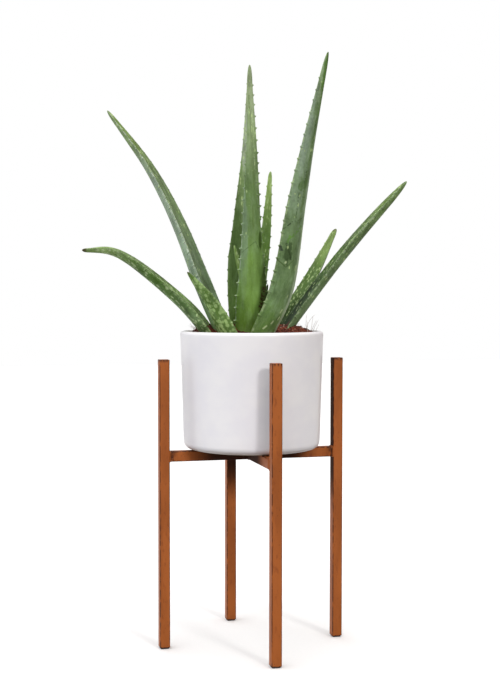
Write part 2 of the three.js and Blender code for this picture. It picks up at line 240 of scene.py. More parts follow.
add_lamp("front_right_lamp", turn=31, height=22, spread=10, strength=1.02, colour=(1.0, 0.99, 0.97))
add_lamp("top_lamp", turn=10, height=80, spread=70, strength=1.5, colour=(1.0, 1.0, 1.0))


# %% The surround
LIGHT_ALL_ROUND = 0.16
WHITE = (1.0, 1.0, 1.0, 1.0)
COOL = (0.98, 0.985, 1.0, 1.0)
WARM = (1.0, 0.92, 0.85, 1.0)


def build_surround():
    world = bpy.data.worlds.new("studio")
    bpy.context.scene.world = world
    world.use_nodes = True
    world.node_tree.nodes.clear()
    start = Wire(world.node_tree)
    direction = start.node("TexCoord", output="Generated")

    def glow(turn, height, strength):
        """Light that is strongest in one direction and fades over more than a quarter turn."""
        facing = start.node(
            "VectorMath", {"operation": "DOT_PRODUCT"}, {0: direction, 1: toward(turn, height)}, "Value"
        )
        return ease(facing, -0.35, 0.75) * strength

    from_left = glow(-74, 22, 0.74)
    from_behind = glow(150, 15, 0.24)
    from_above = glow(0, 90, 0.1)
    straight_below = ease(height_at(direction), -0.45, -0.9)
    light = (LIGHT_ALL_ROUND + from_left + from_behind + from_above) * (1 - straight_below * 0.75)
    colour = mix(COOL, WARM, glow(95, 0, 1.0))
    lit = start.node("Background", {}, {"Color": colour, "Strength": light})
    seen = start.node("Background", {}, {"Color": WHITE, "Strength": 1.0})
    straight = start.node("LightPath", output="Is Camera Ray")
    both = start.node("MixShader", {}, {0: straight, 1: lit, 2: seen})
    start.node("OutputWorld", {}, {"Surface": both})


build_surround()
bpy.context.scene.view_settings.view_transform = "Standard"
print("surround:", bpy.context.scene.world.name)


# %% The floor
def floor_finish():
    finish, start = new_finish("pale_floor")
    speck = cloud(surface_place(start), 0.004, 4)
    colour = mix(tone(244, 244, 244), tone(250, 250, 250), speck)
    close_finish(start, {"Base Color": colour, "Roughness": 0.95, "Specular IOR Level": 0.1})
    return finish


FLOOR_REACH = 6.0
floor_mesh = bpy.data.meshes.new("floor")
floor_corners = [(x * FLOOR_REACH, y * FLOOR_REACH, 0) for x, y in ((-1, -1), (1, -1), (1, 1), (-1, 1))]
floor_mesh.from_pydata(floor_corners, [], [(0, 1, 2, 3)])
floor_mesh.materials.append(floor_finish())
floor = bpy.data.objects.new("floor", floor_mesh)
floor.visible_diffuse = False
floor.visible_shadow = False
bpy.context.scene.collection.objects.link(floor)
print("floor reaches", FLOOR_REACH, "m each way")


# %% [markdown]
# How a closed piece is made
# Tube, pot, soil and leaf are all long or turned shapes, so each can be skinned: rings of points, one after
# another, are joined by four-sided faces, and a point at each end closes the surface. A modifier stack on a
# plain cylinder could come close, but rings worked out by a formula give each edge its exact rounding.

# %% Skin, piece and measures
def skin(rings, start=None, end=None, looped=False):
    """Points and faces of a closed surface through rings of equally many points, with a point at each end."""
    rings = np.asarray(rings, float)
    rows, around = rings.shape[:2]
    index = np.arange(rows * around).reshape(rows, around)
    if looped:
        index = np.vstack([index, index[:1]])
    beside = np.roll(index, -1, axis=1)
    faces = np.stack([index[:-1], beside[:-1], beside[1:], index[1:]], axis=-1).reshape(-1, 4).tolist()
    points = rings.reshape(-1, 3).tolist()
    for pole, row in ((start, index[0]), (end, index[-1])):
        if pole is not None:
            points.append(list(pole))
            faces += [[int(a), int(b), len(points) - 1] for a, b in zip(row, np.roll(row, -1))]
    return points, faces


def add_piece(name, points, faces, finish, slot, replaced=()):
    """A new piece of the part, smooth, with its faces outward. It stands for the CAD nodes in replaced."""
    mesh = bpy.data.meshes.new(name)
    mesh.from_pydata(points, [], faces)
    shell = bmesh.new()
    shell.from_mesh(mesh)
    bmesh.ops.recalc_face_normals(shell, faces=shell.faces)
    shell.to_mesh(mesh)
    shell.free()
    mesh.shade_smooth()
    mesh.materials.append(finish)
    piece = bpy.data.objects.new(name, mesh)
    bpy.context.scene.collection.objects.link(piece)
    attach(piece, "root")
    if replaced:
        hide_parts(*replaced)
    return piece


def keep_values(piece, name, values):
    """Stores a number at each point of the piece's mesh, for its finish to read."""
    attribute = piece.data.attributes.new(name, "FLOAT", "POINT")
    attribute.data.foreach_set("value", np.asarray(values, np.float32))


def faces_of(pieces):
    return sum(len(piece.data.polygons) for piece in pieces)


# %% [markdown]
# The stand's paint
# The stand is steel under a satin copper-brown paint, handled dark along its edges: broken dark lines run
# down the corners of each leg, and small specks lie on the flats. Painted shade darkens the bars under the
# pot and the sides of the legs that face it. A bevel shader could find edges, but it costs time and changes
# with the sample count. Here each piece stores how near a point is to an edge, and the finish turns that into
# a worn line that noise breaks up.

# %% Copper-brown paint
def stand_paint():
    finish, start = new_finish("copper_brown_paint")
    place = surface_place(start)
    edge = stored(start, "edge")
    drift = cloud(stretched(place, 1, 1, 0.25), 0.018, 3)
    body = mix(tone(148, 78, 28), tone(166, 90, 36), ease(drift, 0.35, 0.65))
    rub = cloud(stretched(place, 1, 1, 0.35), 0.0032, 3)
    body = mix(body, tone(124, 60, 24), ease(rub, 0.56, 0.74) * 0.6)
    dots = ease(cells(place, 0.0034, "Distance"), 0.19, 0.08) * ease(cloud(place, 0.011), 0.5, 0.62)
    broken = ease(cloud(stretched(place, 1, 1, 0.22), 0.0021, 2), 0.36, 0.54)
    line = ease(edge, 0.45, 0.9) * broken
    body = mix(body, tone(74, 36, 22), dots * 0.75)
    body = mix(body, tone(58, 27, 17), line * 0.9)
    # Painted highlight: paler copper along the rounded corners, where the edges catch the light
    gleam = ease(edge, 0.7, 1.0) * ease(cloud(place, 0.0028), 0.62, 0.72)
    body = mix(body, tone(206, 138, 96), gleam * 0.5)
    # Painted shade: the bars under the pot and the sides of the legs that face it get a dark, rough paint
    # where the pot shades them
    from_axis = place.node("VectorMath", {"operation": "LENGTH"}, {0: stretched(place, 1, 1, 0)}, "Value")
    shade_under_pot = ease(from_axis, 0.088, 0.046) * 0.94
    shade_beside_pot = stored(start, "inward") * ease(height_at(place), 0.16, 0.215) * 0.92
    painted_pot_shade = shade_under_pot + shade_beside_pot
    body = mix(body, tone(38, 18, 10), painted_pot_shade)
    rough = 0.46 + rub * 0.12 + line * 0.15 - gleam * 0.1 + painted_pot_shade * 0.4
    skin_height = cloud(place, 0.0011, 3) * 0.5 + rub * 0.5 - dots * 0.4
    close_finish(
        start,
        {
            "Base Color": body,
            "Roughness": rough,
            "Metallic": 0.15,
            "Specular IOR Level": 0.25,
            "Normal": relief(skin_height, 0.00012, 0.6),
        },
    )
    return finish


paint = stand_paint()
print("paint nodes:", len(paint.node_tree.nodes))

# %% [markdown]
# The stand's tubes
# Legs and bars are half-inch square tube with rounded corners. Each leg is closed at its top with eased
# edges and open below for its foot cap, and the bars butt on the legs. An extruded square with a bevel
# modifier would do for the outside, but a skin carries the rounding, the bore and the wall in one surface.

# %% Sizes of the tube
leg_low, leg_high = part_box("leg_front")
bar_low, bar_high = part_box("cross_bar")
TUBE = leg_high.x - leg_low.x
TUBE_WALL = 1.4 * MM
TUBE_CORNER = 1.3 * MM
TOP_EASE = 0.7 * MM
BORE = TUBE - 2 * TUBE_WALL
BORE_CORNER = 0.4 * MM
CORNER_STEPS = 6
EDGE_REACH = 1.5 * MM
INWARD_REACH = 0.8 * MM
SIDES = {"left": (-1, 0), "right": (1, 0), "front": (0, -1), "back": (0, 1)}
print("tube", round(TUBE / MM, 2), "mm, leg top at", round(leg_high.z / MM, 1), "mm")


def square_ring(side, corner):
    """A square with rounded corners as points round the origin, with a point on each flat near a corner."""
    ring = []
    inner = side / 2 - corner
    support = min(0.4 * MM, inner / 3)
    for quarter in range(4):
        turn = quarter * math.pi / 2
        cosine, sine = math.cos(turn), math.sin(turn)
        corner_points = [(side / 2, inner - support)]
        for step in range(CORNER_STEPS + 1):
            angle = step / CORNER_STEPS * math.pi / 2
            corner_points.append((inner + corner * math.cos(angle), inner + corner * math.sin(angle)))
        corner_points.append((inner - support, side / 2))
        ring += [(x * cosine - y * sine, x * sine + y * cosine) for x, y in corner_points]
    return ring


def square_rings(walk, centre, axis):
    """Square rings along an axis, 0 to 2. The walk gives each one's side, its corner and its place along."""
    rings = [np.insert(square_ring(side, corner), axis, along, axis=1) for side, corner, along in walk]
    return np.array(rings) + np.array(centre)


def mark_edges(piece):
    """Stores 1 at the piece's long edges and 0 away from them, from the box that the piece fills."""
    points = np.array([vertex.co for vertex in piece.data.vertices])
    low, high = points.min(axis=0), points.max(axis=0)
    to_side = np.sort(np.minimum(points - low, high - points), axis=1)
    away = np.hypot(to_side[:, 0], to_side[:, 1])
    keep_values(piece, "edge", np.clip(1 - (away - 0.5 * MM) / EDGE_REACH, 0, 1))


def mark_inward(leg, side):
    """Stores 1 on the side of a leg that faces the pot, and 0 elsewhere."""
    points = np.array([vertex.co for vertex in leg.data.vertices])
    outward = points[:, :2] @ np.array(side, float)
    keep_values(leg, "inward", np.clip(1 - (outward - outward.min()) / INWARD_REACH, 0, 1))


# %% Legs
def build_leg(side):
    low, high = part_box(f"leg_{side}")
    centre = (low + high) / 2
    outside = [(TUBE - 0.3 * MM, low.z), (TUBE, low.z + 0.4 * MM), (TUBE, low.z + 1.5 * MM)]
    outside += [(TUBE, level) for level in np.linspace(0.1, 0.98, 12) * high.z]
    for angle in np.linspace(0, math.pi / 2, 5):
        drawn_in = TOP_EASE * (1 - math.cos(angle))
        outside.append((TUBE - 2 * drawn_in, high.z - TOP_EASE * (1 - math.sin(angle))))
    outside.append((TUBE - 6 * TOP_EASE, high.z))
    walk = [(width, max(TUBE_CORNER - (TUBE - width) / 2, 0.5 * MM), level) for width, level in outside[::-1]]
    walk += [(BORE, BORE_CORNER, level) for level in (low.z, low.z + 1 * MM, high.z - TUBE_WALL)]
    rings = square_rings(walk, (centre.x, centre.y, 0), 2)
    top = (centre.x, centre.y, high.z)
    bore_top = (centre.x, centre.y, high.z - TUBE_WALL)
    leg = add_piece(f"leg_{side}_tube", *skin(rings, top, bore_top), paint, "stand_paint", [f"leg_{side}"])
    mark_edges(leg)
    mark_inward(leg, SIDES[side])
    return leg


legs = [build_leg(side) for side in SIDES]
print("legs:", len(legs), "with", faces_of(legs), "faces")


# %% Cross bars
def build_bar(node):
    low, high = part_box(node)
    centre = (low + high) / 2
    axis = 0 if high.x - low.x > high.y - low.y else 1
    half = (high - low)[axis] / 2
    stations = np.linspace(-half, half, 14)
    walk = [(TUBE, TUBE_CORNER, station) for station in stations]
    walk += [(BORE, BORE_CORNER, station) for station in stations[::-1]]
    rings = square_rings(walk, centre, axis)
    bar = add_piece(f"{node}_tube", *skin(rings, looped=True), paint, "stand_paint", [node])
    mark_edges(bar)
    return bar


bars = [build_bar(node) for node in ("cross_bar", "cross_bar_front", "cross_bar_back")]
print("bars:", len(bars), "with", faces_of(bars), "faces")

# %% [markdown]
# Welds
# Where a bar meets a leg, and where the two half bars meet the through bar, a low bead of weld runs round
# the tube, ground nearly flush and painted over. Bump alone would not break the straight inner corner, so
# each bead is a thin closed tube of its own, made a little lumpy, that lies in the corner.

# %% Weld beads
BEAD_RADIUS = 0.9 * MM
BEAD_SIDES = 8
BEAD_POINTS = 120
BEAD_WEAR = 0.4


def weld_rings(centre, across_x, lumps):
    """A bead round a tube's section, in the plane across X or across Y through the centre."""
    outline = np.array(square_ring(TUBE, TUBE_CORNER))
    steps = np.hypot(*(np.roll(outline, -1, axis=0) - outline).T)
    reach = np.concatenate([[0], np.cumsum(steps)])
    closed = np.vstack([outline, outline[:1]])
    rings = []
    for share in np.arange(BEAD_POINTS) / BEAD_POINTS:
        x, y = (np.interp(share * reach[-1], reach, closed[:, k]) for k in (0, 1))
        outward = Vector((x, y)).normalized()
        radius = BEAD_RADIUS * lumps.uniform(0.8, 1.15)
        ring = []
        for side in range(BEAD_SIDES):
            angle = side / BEAD_SIDES * 2 * math.pi
            out = radius * math.cos(angle)
            slip = radius * math.sin(angle)
            u, v = x + outward.x * out, y + outward.y * out
            ring.append((slip, u, v) if across_x else (u, slip, v))
        rings.append([tuple(c + p for c, p in zip(centre, point)) for point in ring])
    return rings


def build_welds():
    lumps = random.Random(5)
    height = (bar_low.z + bar_high.z) / 2
    places = {
        "left": ((bar_low.x, 0, height), True),
        "right": ((bar_high.x, 0, height), True),
        "front": ((0, -bar_high.x, height), False),
        "back": ((0, bar_high.x, height), False),
        "middle_front": ((0, bar_low.y, height), False),
        "middle_back": ((0, bar_high.y, height), False),
    }
    welds = []
    for name, (centre, across_x) in places.items():
        rings = weld_rings(centre, across_x, lumps)
        weld = add_piece(f"weld_{name}", *skin(rings, looped=True), paint, "stand_paint")
        keep_values(weld, "edge", np.full(len(weld.data.vertices), BEAD_WEAR))
        welds.append(weld)
    return welds


welds = build_welds()
print("welds:", len(welds))

# %% [markdown]
# Foot caps
# A black plastic cap closes each leg: a square pad under the tube, with a plug that grips inside the bore.
# Only a dark line of the pad shows. It is skinned like the tube, with soft corners, and its finish is a
# moulded black plastic that dust from the floor has greyed at the bottom.

# %% Black plastic and the caps
def cap_plastic():
    finish, start = new_finish("black_cap_plastic")
    place = surface_place(start)
    grain = cloud(place, 0.0007, 3)
    dust = ease(height_at(place), 1.2 * MM, 0.1 * MM) * ease(cloud(place, 0.004), 0.35, 0.7)
    colour = mix(tone(32, 24, 22), tone(46, 37, 34), grain)
    colour = mix(colour, tone(96, 88, 82), dust * 0.5)
    close_finish(
        start,
        {
            "Base Color": colour,
            "Roughness": 0.55 + grain * 0.15 + dust * 0.2,
            "Normal": relief(grain, 0.00008, 0.5),
        },
    )
    return finish


PLUG_HEIGHT = 13.8 * MM
PLUG_CLEARANCE = 0.3 * MM
PAD_CORNER = 1.6 * MM
plastic = cap_plastic()


def build_cap(side):
    low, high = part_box(f"foot_cap_{side}")
    centre = (low + high) / 2
    pad = high.x - low.x
    pad_top = leg_low.z - 0.01 * MM
    plug = BORE - 2 * PLUG_CLEARANCE
    walk = [
        (pad - 1.4 * MM, 0.0),
        (pad - 0.5 * MM, 0.1 * MM),
        (pad - 0.1 * MM, 0.4 * MM),
        (pad, 0.8 * MM),
        (pad, pad_top - 0.3 * MM),
        (pad - 0.4 * MM, pad_top),
        (plug + 0.3 * MM, pad_top),
        (plug, pad_top + 0.3 * MM),
        (plug, PLUG_HEIGHT - 1.5 * MM),
        (plug - 0.8 * MM, PLUG_HEIGHT),
    ]
    rings = square_rings([(width, PAD_CORNER, level) for width, level in walk], (centre.x, centre.y, 0), 2)
    ends = (centre.x, centre.y, 0.0), (centre.x, centre.y, PLUG_HEIGHT)
    return add_piece(f"cap_{side}", *skin(rings, *ends), plastic, "foot_plastic", [f"foot_cap_{side}"])


caps = [build_cap(side) for side in SIDES]
print("caps:", len(caps), "with", faces_of(caps), "faces")

# %% [markdown]
# The pot
# The pot is cast stoneware under a smooth white glaze, with a rounded lower edge, a wall that flares a
# little and a soft rim. A turned shape is one profile swept round the axis, so the profile is written once,
# from arcs and straight runs, and skinned in many steps. The glaze is a little wavy, its lowest millimetres
# carry painted shade, warmed by painted light thrown back from the stand, and the foot is bare.

# %% Sizes of the pot
pot_low, pot_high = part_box("pot")
POT_FOOT = pot_low.z
POT_HEIGHT = pot_high.z - pot_low.z
RIM_RADIUS = (pot_high.x - pot_low.x) / 2
RIM_HEIGHT = pot_high.z
BASE_RADIUS = 84.3 * MM
POT_WALL = 7 * MM
POT_FLOOR = 9 * MM
LOWER_EDGE = 9 * MM
RING_RADIUS = 70 * MM
RING_WIDTH = 6 * MM
RING_HEIGHT = 1.4 * MM
RIM_SWELL = 0.35 * MM
POT_STEPS = 192
OVALNESS = 0.0006
THREE_LOBES = 0.0003
print("pot", round(2 * RIM_RADIUS / MM, 1), "mm across,", round(POT_HEIGHT / MM, 1), "mm high")


def arc(centre, radius, start, end, steps):
    """Points on an arc of a profile, from one angle to another in degrees."""
    angles = np.radians(np.linspace(start, end, steps + 1))
    return [(centre[0] + radius * math.cos(a), centre[1] + radius * math.sin(a)) for a in angles]


def pot_profile():
    """The pot's outline from the middle of its underside, over the rim, to the middle of its inside."""
    rim_edge = 4 * MM
    inner_edge = 2.5 * MM
    inner_corner = 8 * MM
    soft = 0.6 * MM
    ring_inside = RING_RADIUS - RING_WIDTH
    outline = [(0.5 * ring_inside, RING_HEIGHT), (ring_inside - soft, RING_HEIGHT)]
    outline += [(ring_inside, RING_HEIGHT - soft)]
    outline += arc((ring_inside + soft, soft), soft, 180, 270, 3)
    outline += arc((RING_RADIUS - soft, soft), soft, 270, 360, 3)
    outline += [(RING_RADIUS, RING_HEIGHT - 0.2 * MM), (RING_RADIUS + soft, RING_HEIGHT)]
    lower = (BASE_RADIUS - LOWER_EDGE, RING_HEIGHT + LOWER_EDGE)
    outline += arc(lower, LOWER_EDGE, 270, 360, 14)
    wall_top = POT_HEIGHT - rim_edge
    for height in np.linspace(lower[1], wall_top, 26)[1:-1]:
        share = height / POT_HEIGHT
        swell = RIM_SWELL * math.exp(-(((POT_HEIGHT - height) / (7 * MM)) ** 2))
        outline.append((BASE_RADIUS + (RIM_RADIUS - BASE_RADIUS) * share + swell, height))
    outline += arc((RIM_RADIUS - rim_edge, wall_top), rim_edge, 0, 90, 8)
    inside = RIM_RADIUS - POT_WALL
    outline += arc((inside + inner_edge, POT_HEIGHT - inner_edge), inner_edge, 90, 180, 6)
    inner_foot = BASE_RADIUS - POT_WALL
    upper_inside = (inside - 0.5 * MM, POT_HEIGHT - 20 * MM)
    middle_inside = (inside - 2 * MM, 0.5 * POT_HEIGHT)
    outline += [upper_inside, middle_inside]
    outline += arc((inner_foot - inner_corner, POT_FLOOR + inner_corner), inner_corner, 0, -90, 6)
    outline += [(0.5 * inner_foot, POT_FLOOR)]
    return outline


# %% White glaze
def white_glaze():
    finish, start = new_finish("white_glaze")
    place = surface_place(start)
    veil = cloud(place, 0.035, 3)
    colour = mix(tone(236, 234, 239), tone(242, 240, 242), ease(veil, 0.3, 0.7))
    pinholes = ease(cells(place, 0.009, "Distance"), 0.035, 0.02) * ease(cloud(place, 0.02), 0.55, 0.65)
    colour = mix(colour, tone(196, 186, 176), pinholes * 0.6)
    bare = ease(height_at(place), POT_FOOT + 1.6 * MM, POT_FOOT + 0.8 * MM)
    # Painted shade: the lowest 7 mm of the glaze darken towards a warm grey-brown, a painted warm bounce from
    # the stand
    thin = ease(height_at(place), POT_FOOT + 7 * MM, POT_FOOT + 1 * MM)
    colour = mix(colour, tone(158, 140, 124), thin * 0.85)
    clay = mix(tone(196, 184, 166), tone(170, 156, 138), cloud(place, 0.0012, 3))
    colour = mix(colour, clay, bare)
    waves = cloud(stretched(place, 1, 1, 0.6), 0.02, 2)
    grain = cloud(place, 0.0009, 2)
    close_finish(
        start,
        {
            "Base Color": colour,
            "Roughness": 0.3 + veil * 0.08 + bare * 0.5,
            "Specular IOR Level": 0.45,
            "Normal": relief(waves + grain * 0.03 + bare * grain * 0.4, 0.0005, 0.35),
        },
    )
    return finish


def build_pot():
    angles = np.linspace(0, 2 * math.pi, POT_STEPS, endpoint=False)
    rings = []
    for radius, height in pot_profile():
        uneven = 1 + OVALNESS * np.cos(2 * angles + 0.7) + THREE_LOBES * np.cos(3 * angles)
        ring = np.stack([radius * uneven * np.cos(angles), radius * uneven * np.sin(angles)], axis=-1)
        rings.append(np.column_stack([ring, np.full(POT_STEPS, POT_FOOT + height)]))
    ends = (0, 0, POT_FOOT + RING_HEIGHT), (0, 0, POT_FOOT + POT_FLOOR)
    return add_piece("glazed_pot", *skin(rings, *ends), white_glaze(), "white_glaze", ["pot"])


pot = build_pot()
print("pot faces:", faces_of([pot]))

# %% [markdown]
# The soil
# The pot is filled to a low mound of dark red-brown potting mix, with crumbs and a few pale dry fibres. The
# mound could be one displaced disc, but crumbs that stand free catch the light as real soil does. So the
# mound is skinned with noise for its lumps, and loose crumbs are set on it by seeded draws.

# %% Height of the soil
SOIL_AT_WALL = -8 * MM
SOIL_TOP = 7 * MM
SOIL_FRONT_DIP = 10 * MM
DIP_START = -5 * MM
DIP_FLOOR = 25 * MM
SOIL_EDGE_POWER = 7
SOIL_GAP = 0.3 * MM
SOIL_RADIUS = RIM_RADIUS - POT_WALL - SOIL_GAP
SOIL_LOW_RADIUS = BASE_RADIUS - POT_WALL - SOIL_GAP
SOIL_LOWER_EDGE = 8 * MM
SOIL_AROUND = 180
SOIL_RINGS = 64
LUMP_DEPTH = 1.6 * MM
LUMP_SIZE = 9 * MM
GRIT_DEPTH = 0.5 * MM
GRIT_SIZE = 1.7 * MM
PLANT_TURN = math.radians(-14.7)


def soil_height(x, y):
    """The height of the mound above the floor, over a place in the frame."""
    share = min(math.hypot(x, y) / SOIL_RADIUS, 1)
    front = x * math.sin(PLANT_TURN) - y * math.cos(PLANT_TURN)
    to_wall = share**SOIL_EDGE_POWER
    dome = SOIL_TOP + (SOIL_AT_WALL - SOIL_TOP) * to_wall
    dip = SOIL_FRONT_DIP * smoothed(front, DIP_START, DIP_FLOOR) * (1 - to_wall)
    lumps = LUMP_DEPTH * noise.fractal(Vector((x, y, 0.3)) / LUMP_SIZE, 1.0, 2.0, 4)
    grit = GRIT_DEPTH * noise.noise(Vector((x, y, 1.3)) / GRIT_SIZE)
    return float(RIM_HEIGHT + dome - dip + lumps + grit)


# %% Potting mix
def potting_mix():
    finish, start = new_finish("potting_mix")
    place = surface_place(start)
    clumps = cloud(place, 0.0045, 4)
    chance = start.node("SeparateColor", {}, {0: cells(place, 0.0016, "Color")}, 0)
    colour = mix(tone(62, 27, 19), tone(112, 52, 33), ease(clumps, 0.35, 0.68))
    colour = mix(colour, tone(142, 74, 50), ease(chance, 0.78, 0.86) * 0.7)
    colour = mix(colour, tone(30, 16, 13), ease(chance, 0.2, 0.1) * 0.8)
    colour = mix(colour, tone(196, 170, 150), ease(chance, 0.97, 0.99) * 0.8)
    close_finish(
        start,
        {
            "Base Color": colour,
            "Roughness": 0.85 + clumps * 0.12,
            "Specular IOR Level": 0.25,
            "Normal": relief(clumps + chance * 0.4, 0.0008, 0.8),
        },
    )
    return finish


mix_finish = potting_mix()


def circle(radius, around):
    """Points of a plane, evenly spread round its origin."""
    angles = np.linspace(0, 2 * math.pi, around, endpoint=False)
    return [(radius * math.cos(angle), radius * math.sin(angle)) for angle in angles]


def build_soil():
    rings = []
    for share in np.linspace(0.02, 1, SOIL_RINGS):
        rings.append([(x, y, soil_height(x, y)) for x, y in circle(share * SOIL_RADIUS, SOIL_AROUND)])
    foot = POT_FOOT + POT_FLOOR + SOIL_GAP
    lower = ((SOIL_LOW_RADIUS, foot + SOIL_LOWER_EDGE), (SOIL_LOW_RADIUS - SOIL_LOWER_EDGE, foot))
    for radius, level in lower:
        rings.append([(x, y, level) for x, y in circle(radius, SOIL_AROUND)])
    ends = (0, 0, soil_height(0, 0)), (0, 0, foot)
    return add_piece("soil_mound", *skin(rings, *ends), mix_finish, "soil", ["soil"])


soil = build_soil()
print("soil faces:", faces_of([soil]))


# %% Crumbs on the soil
CRUMB_COUNT = 620
BIG_CRUMB_SHARE = 0.12
BIG_CRUMB = 1.5
CRUMB_REACH = 0.985
CRUMB_LIFT = 0.15


def crumb(centre, size, draws):
    """One crumb: a ball of 42 points pushed in and out, flattened a little."""
    ball = bmesh.new()
    bmesh.ops.create_icosphere(ball, subdivisions=2, radius=size / 2)
    squash = (draws.uniform(0.7, 1.3), draws.uniform(0.7, 1.2), draws.uniform(0.5, 0.9))
    points = []
    for vertex in ball.verts:
        push = draws.uniform(0.78, 1.15)
        points.append([c + p * s * push for c, p, s in zip(centre, vertex.co, squash)])
    faces = [[vertex.index for vertex in face.verts] for face in ball.faces]
    ball.free()
    return points, faces


def join(shells):
    """Several lists of points and faces as one."""
    points, faces = [], []
    for shell_points, shell_faces in shells:
        first = len(points)
        points += shell_points
        faces += [[first + index for index in face] for face in shell_faces]
    return points, faces


def build_crumbs():
    draws = random.Random(17)
    shells = []
    for _ in range(CRUMB_COUNT):
        radius = SOIL_RADIUS * math.sqrt(draws.random()) * CRUMB_REACH
        angle = draws.uniform(0, 2 * math.pi)
        size = draws.uniform(1.0, 2.4) * MM * (BIG_CRUMB if draws.random() < BIG_CRUMB_SHARE else 1)
        x, y = radius * math.cos(angle), radius * math.sin(angle)
        shells.append(crumb((x, y, soil_height(x, y) + CRUMB_LIFT * size), size, draws))
    return add_piece("soil_crumbs", *join(shells), mix_finish, "soil")


crumbs = build_crumbs()
print("crumb faces:", faces_of([crumbs]))

# %% [markdown]
# Dry fibres
# Fine pale fibres and a few hair-thin stalks stand at the edge of the soil. Hair curves would be the usual
# way, but they are lost on export, so each fibre is a very thin skinned tube along a bent line.

# %% Fibres
# Each tuft: how far right and away from the camera it stands, its count of fibres and their reach, in mm
TUFTS = ((-67, 12, 40, 11), (62, 22, 12, 8))
STALK_COUNT = 7
THREAD_SIDES = 5
FIBRE_RADIUS = 0.16 * MM
STALK_RADIUS = 0.26 * MM


def pale_fibre():
    finish, start = new_finish("pale_fibre")
    place = surface_place(start)
    colour = mix(tone(214, 200, 192), tone(172, 160, 142), cloud(place, 0.003, 2))
    close_finish(start, {"Base Color": colour, "Roughness": 0.8 + cloud(place, 0.001) * 0.1})
    return finish


def thread(points, radius):
    """A thin tube through points, pointed at its end."""
    rings = []
    for order, point in enumerate(points[:-1]):
        along = (points[order + 1] - point).normalized()
        side = along.cross(Vector((0.3, 0.2, 1))).normalized()
        up = along.cross(side)
        width = radius * (1 - 0.5 * order / len(points))
        rings.append([point + side * x + up * y for x, y in circle(width, THREAD_SIDES)])
    return skin(rings, points[0], points[-1])


def place_beside(right, away):
    """A place over the soil: right and away from the camera, in metres from the pot's axis."""
    compass = math.radians(camera_compass)
    rightward = Vector((-math.sin(compass), math.cos(compass), 0))
    inward = Vector((-math.cos(compass), -math.sin(compass), 0))
    spot = rightward * right + inward * away
    spot.z = soil_height(spot.x, spot.y)
    return spot


def bent_line(spot, lean, bend, length, points):
    """Points from a spot along a lean, bending off more and more."""
    return [spot + lean * (s * length) + bend * (length * s * s) for s in np.linspace(0, 1, points)]


def build_fibres():
    draws = random.Random(23)
    shells = []
    for right, away, count, reach in TUFTS:
        for _ in range(count):
            spot = place_beside((right + draws.gauss(0, 3)) * MM, (away + draws.gauss(0, 4)) * MM)
            lean = Vector((draws.gauss(0, 1), draws.gauss(0, 1), draws.uniform(0.4, 1.6))).normalized()
            bend = Vector((draws.gauss(0, 1), draws.gauss(0, 1), draws.gauss(-0.4, 0.5)))
            length = reach * MM * draws.uniform(0.5, 1)
            shells.append(thread(bent_line(spot, lean, bend * 0.45, length, 9), FIBRE_RADIUS))
    for _ in range(STALK_COUNT):
        spot = place_beside(draws.uniform(67, 79) * MM, draws.uniform(-12, 14) * MM)
        lean = Vector((draws.gauss(0.1, 0.25), draws.gauss(0, 0.25), 1)).normalized()
        bend = Vector((draws.gauss(0.2, 0.3), draws.gauss(0, 0.3), 0))
        length = draws.uniform(12, 22) * MM
        shells.append(thread(bent_line(spot, lean, bend * 0.5, length, 12), STALK_RADIUS))
    return add_piece("soil_fibres", *join(shells), pale_fibre(), "soil")


fibres = build_fibres()
print("fibre faces:", faces_of([fibres]))

# %% [markdown]
# The stem
# The short stem is hidden by the soil and the leaves that clasp it, so its CAD solid stays, and only gets a
# finish: dry tan bark with the rings that old leaves leave behind.

# %% Stem bark
def stem_bark():
    finish, start = new_finish("stem_bark")
    place = surface_place(start)
    scars = cloud(stretched(place, 0.3, 0.3, 1), 0.0035, 3)
    colour = mix(tone(164, 139, 98), tone(110, 84, 56), ease(scars, 0.4, 0.65))
    close_finish(
        start,
        {"Base Color": colour, "Roughness": 0.8 + scars * 0.12, "Normal": relief(scars, 0.0006, 0.7)},
    )
    return finish


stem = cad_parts["stem"]
stem.data.materials.clear()
stem.data.materials.append(stem_bark())
print("stem finish:", stem.data.materials[0].name)

# %% [markdown]
# The leaves
# Each leaf is a thick blade: a channelled face, a rounded back and two sharp margins with small pale teeth.
# Sculpting eleven of them by hand would be slow and uneven. Instead one formula draws the section at each
# place along a smooth middle line, and a table gives each leaf its line, its width and how it tapers. The
# table is the same as in the part's source, in millimetres from the middle of the rim, plant front at -Y.

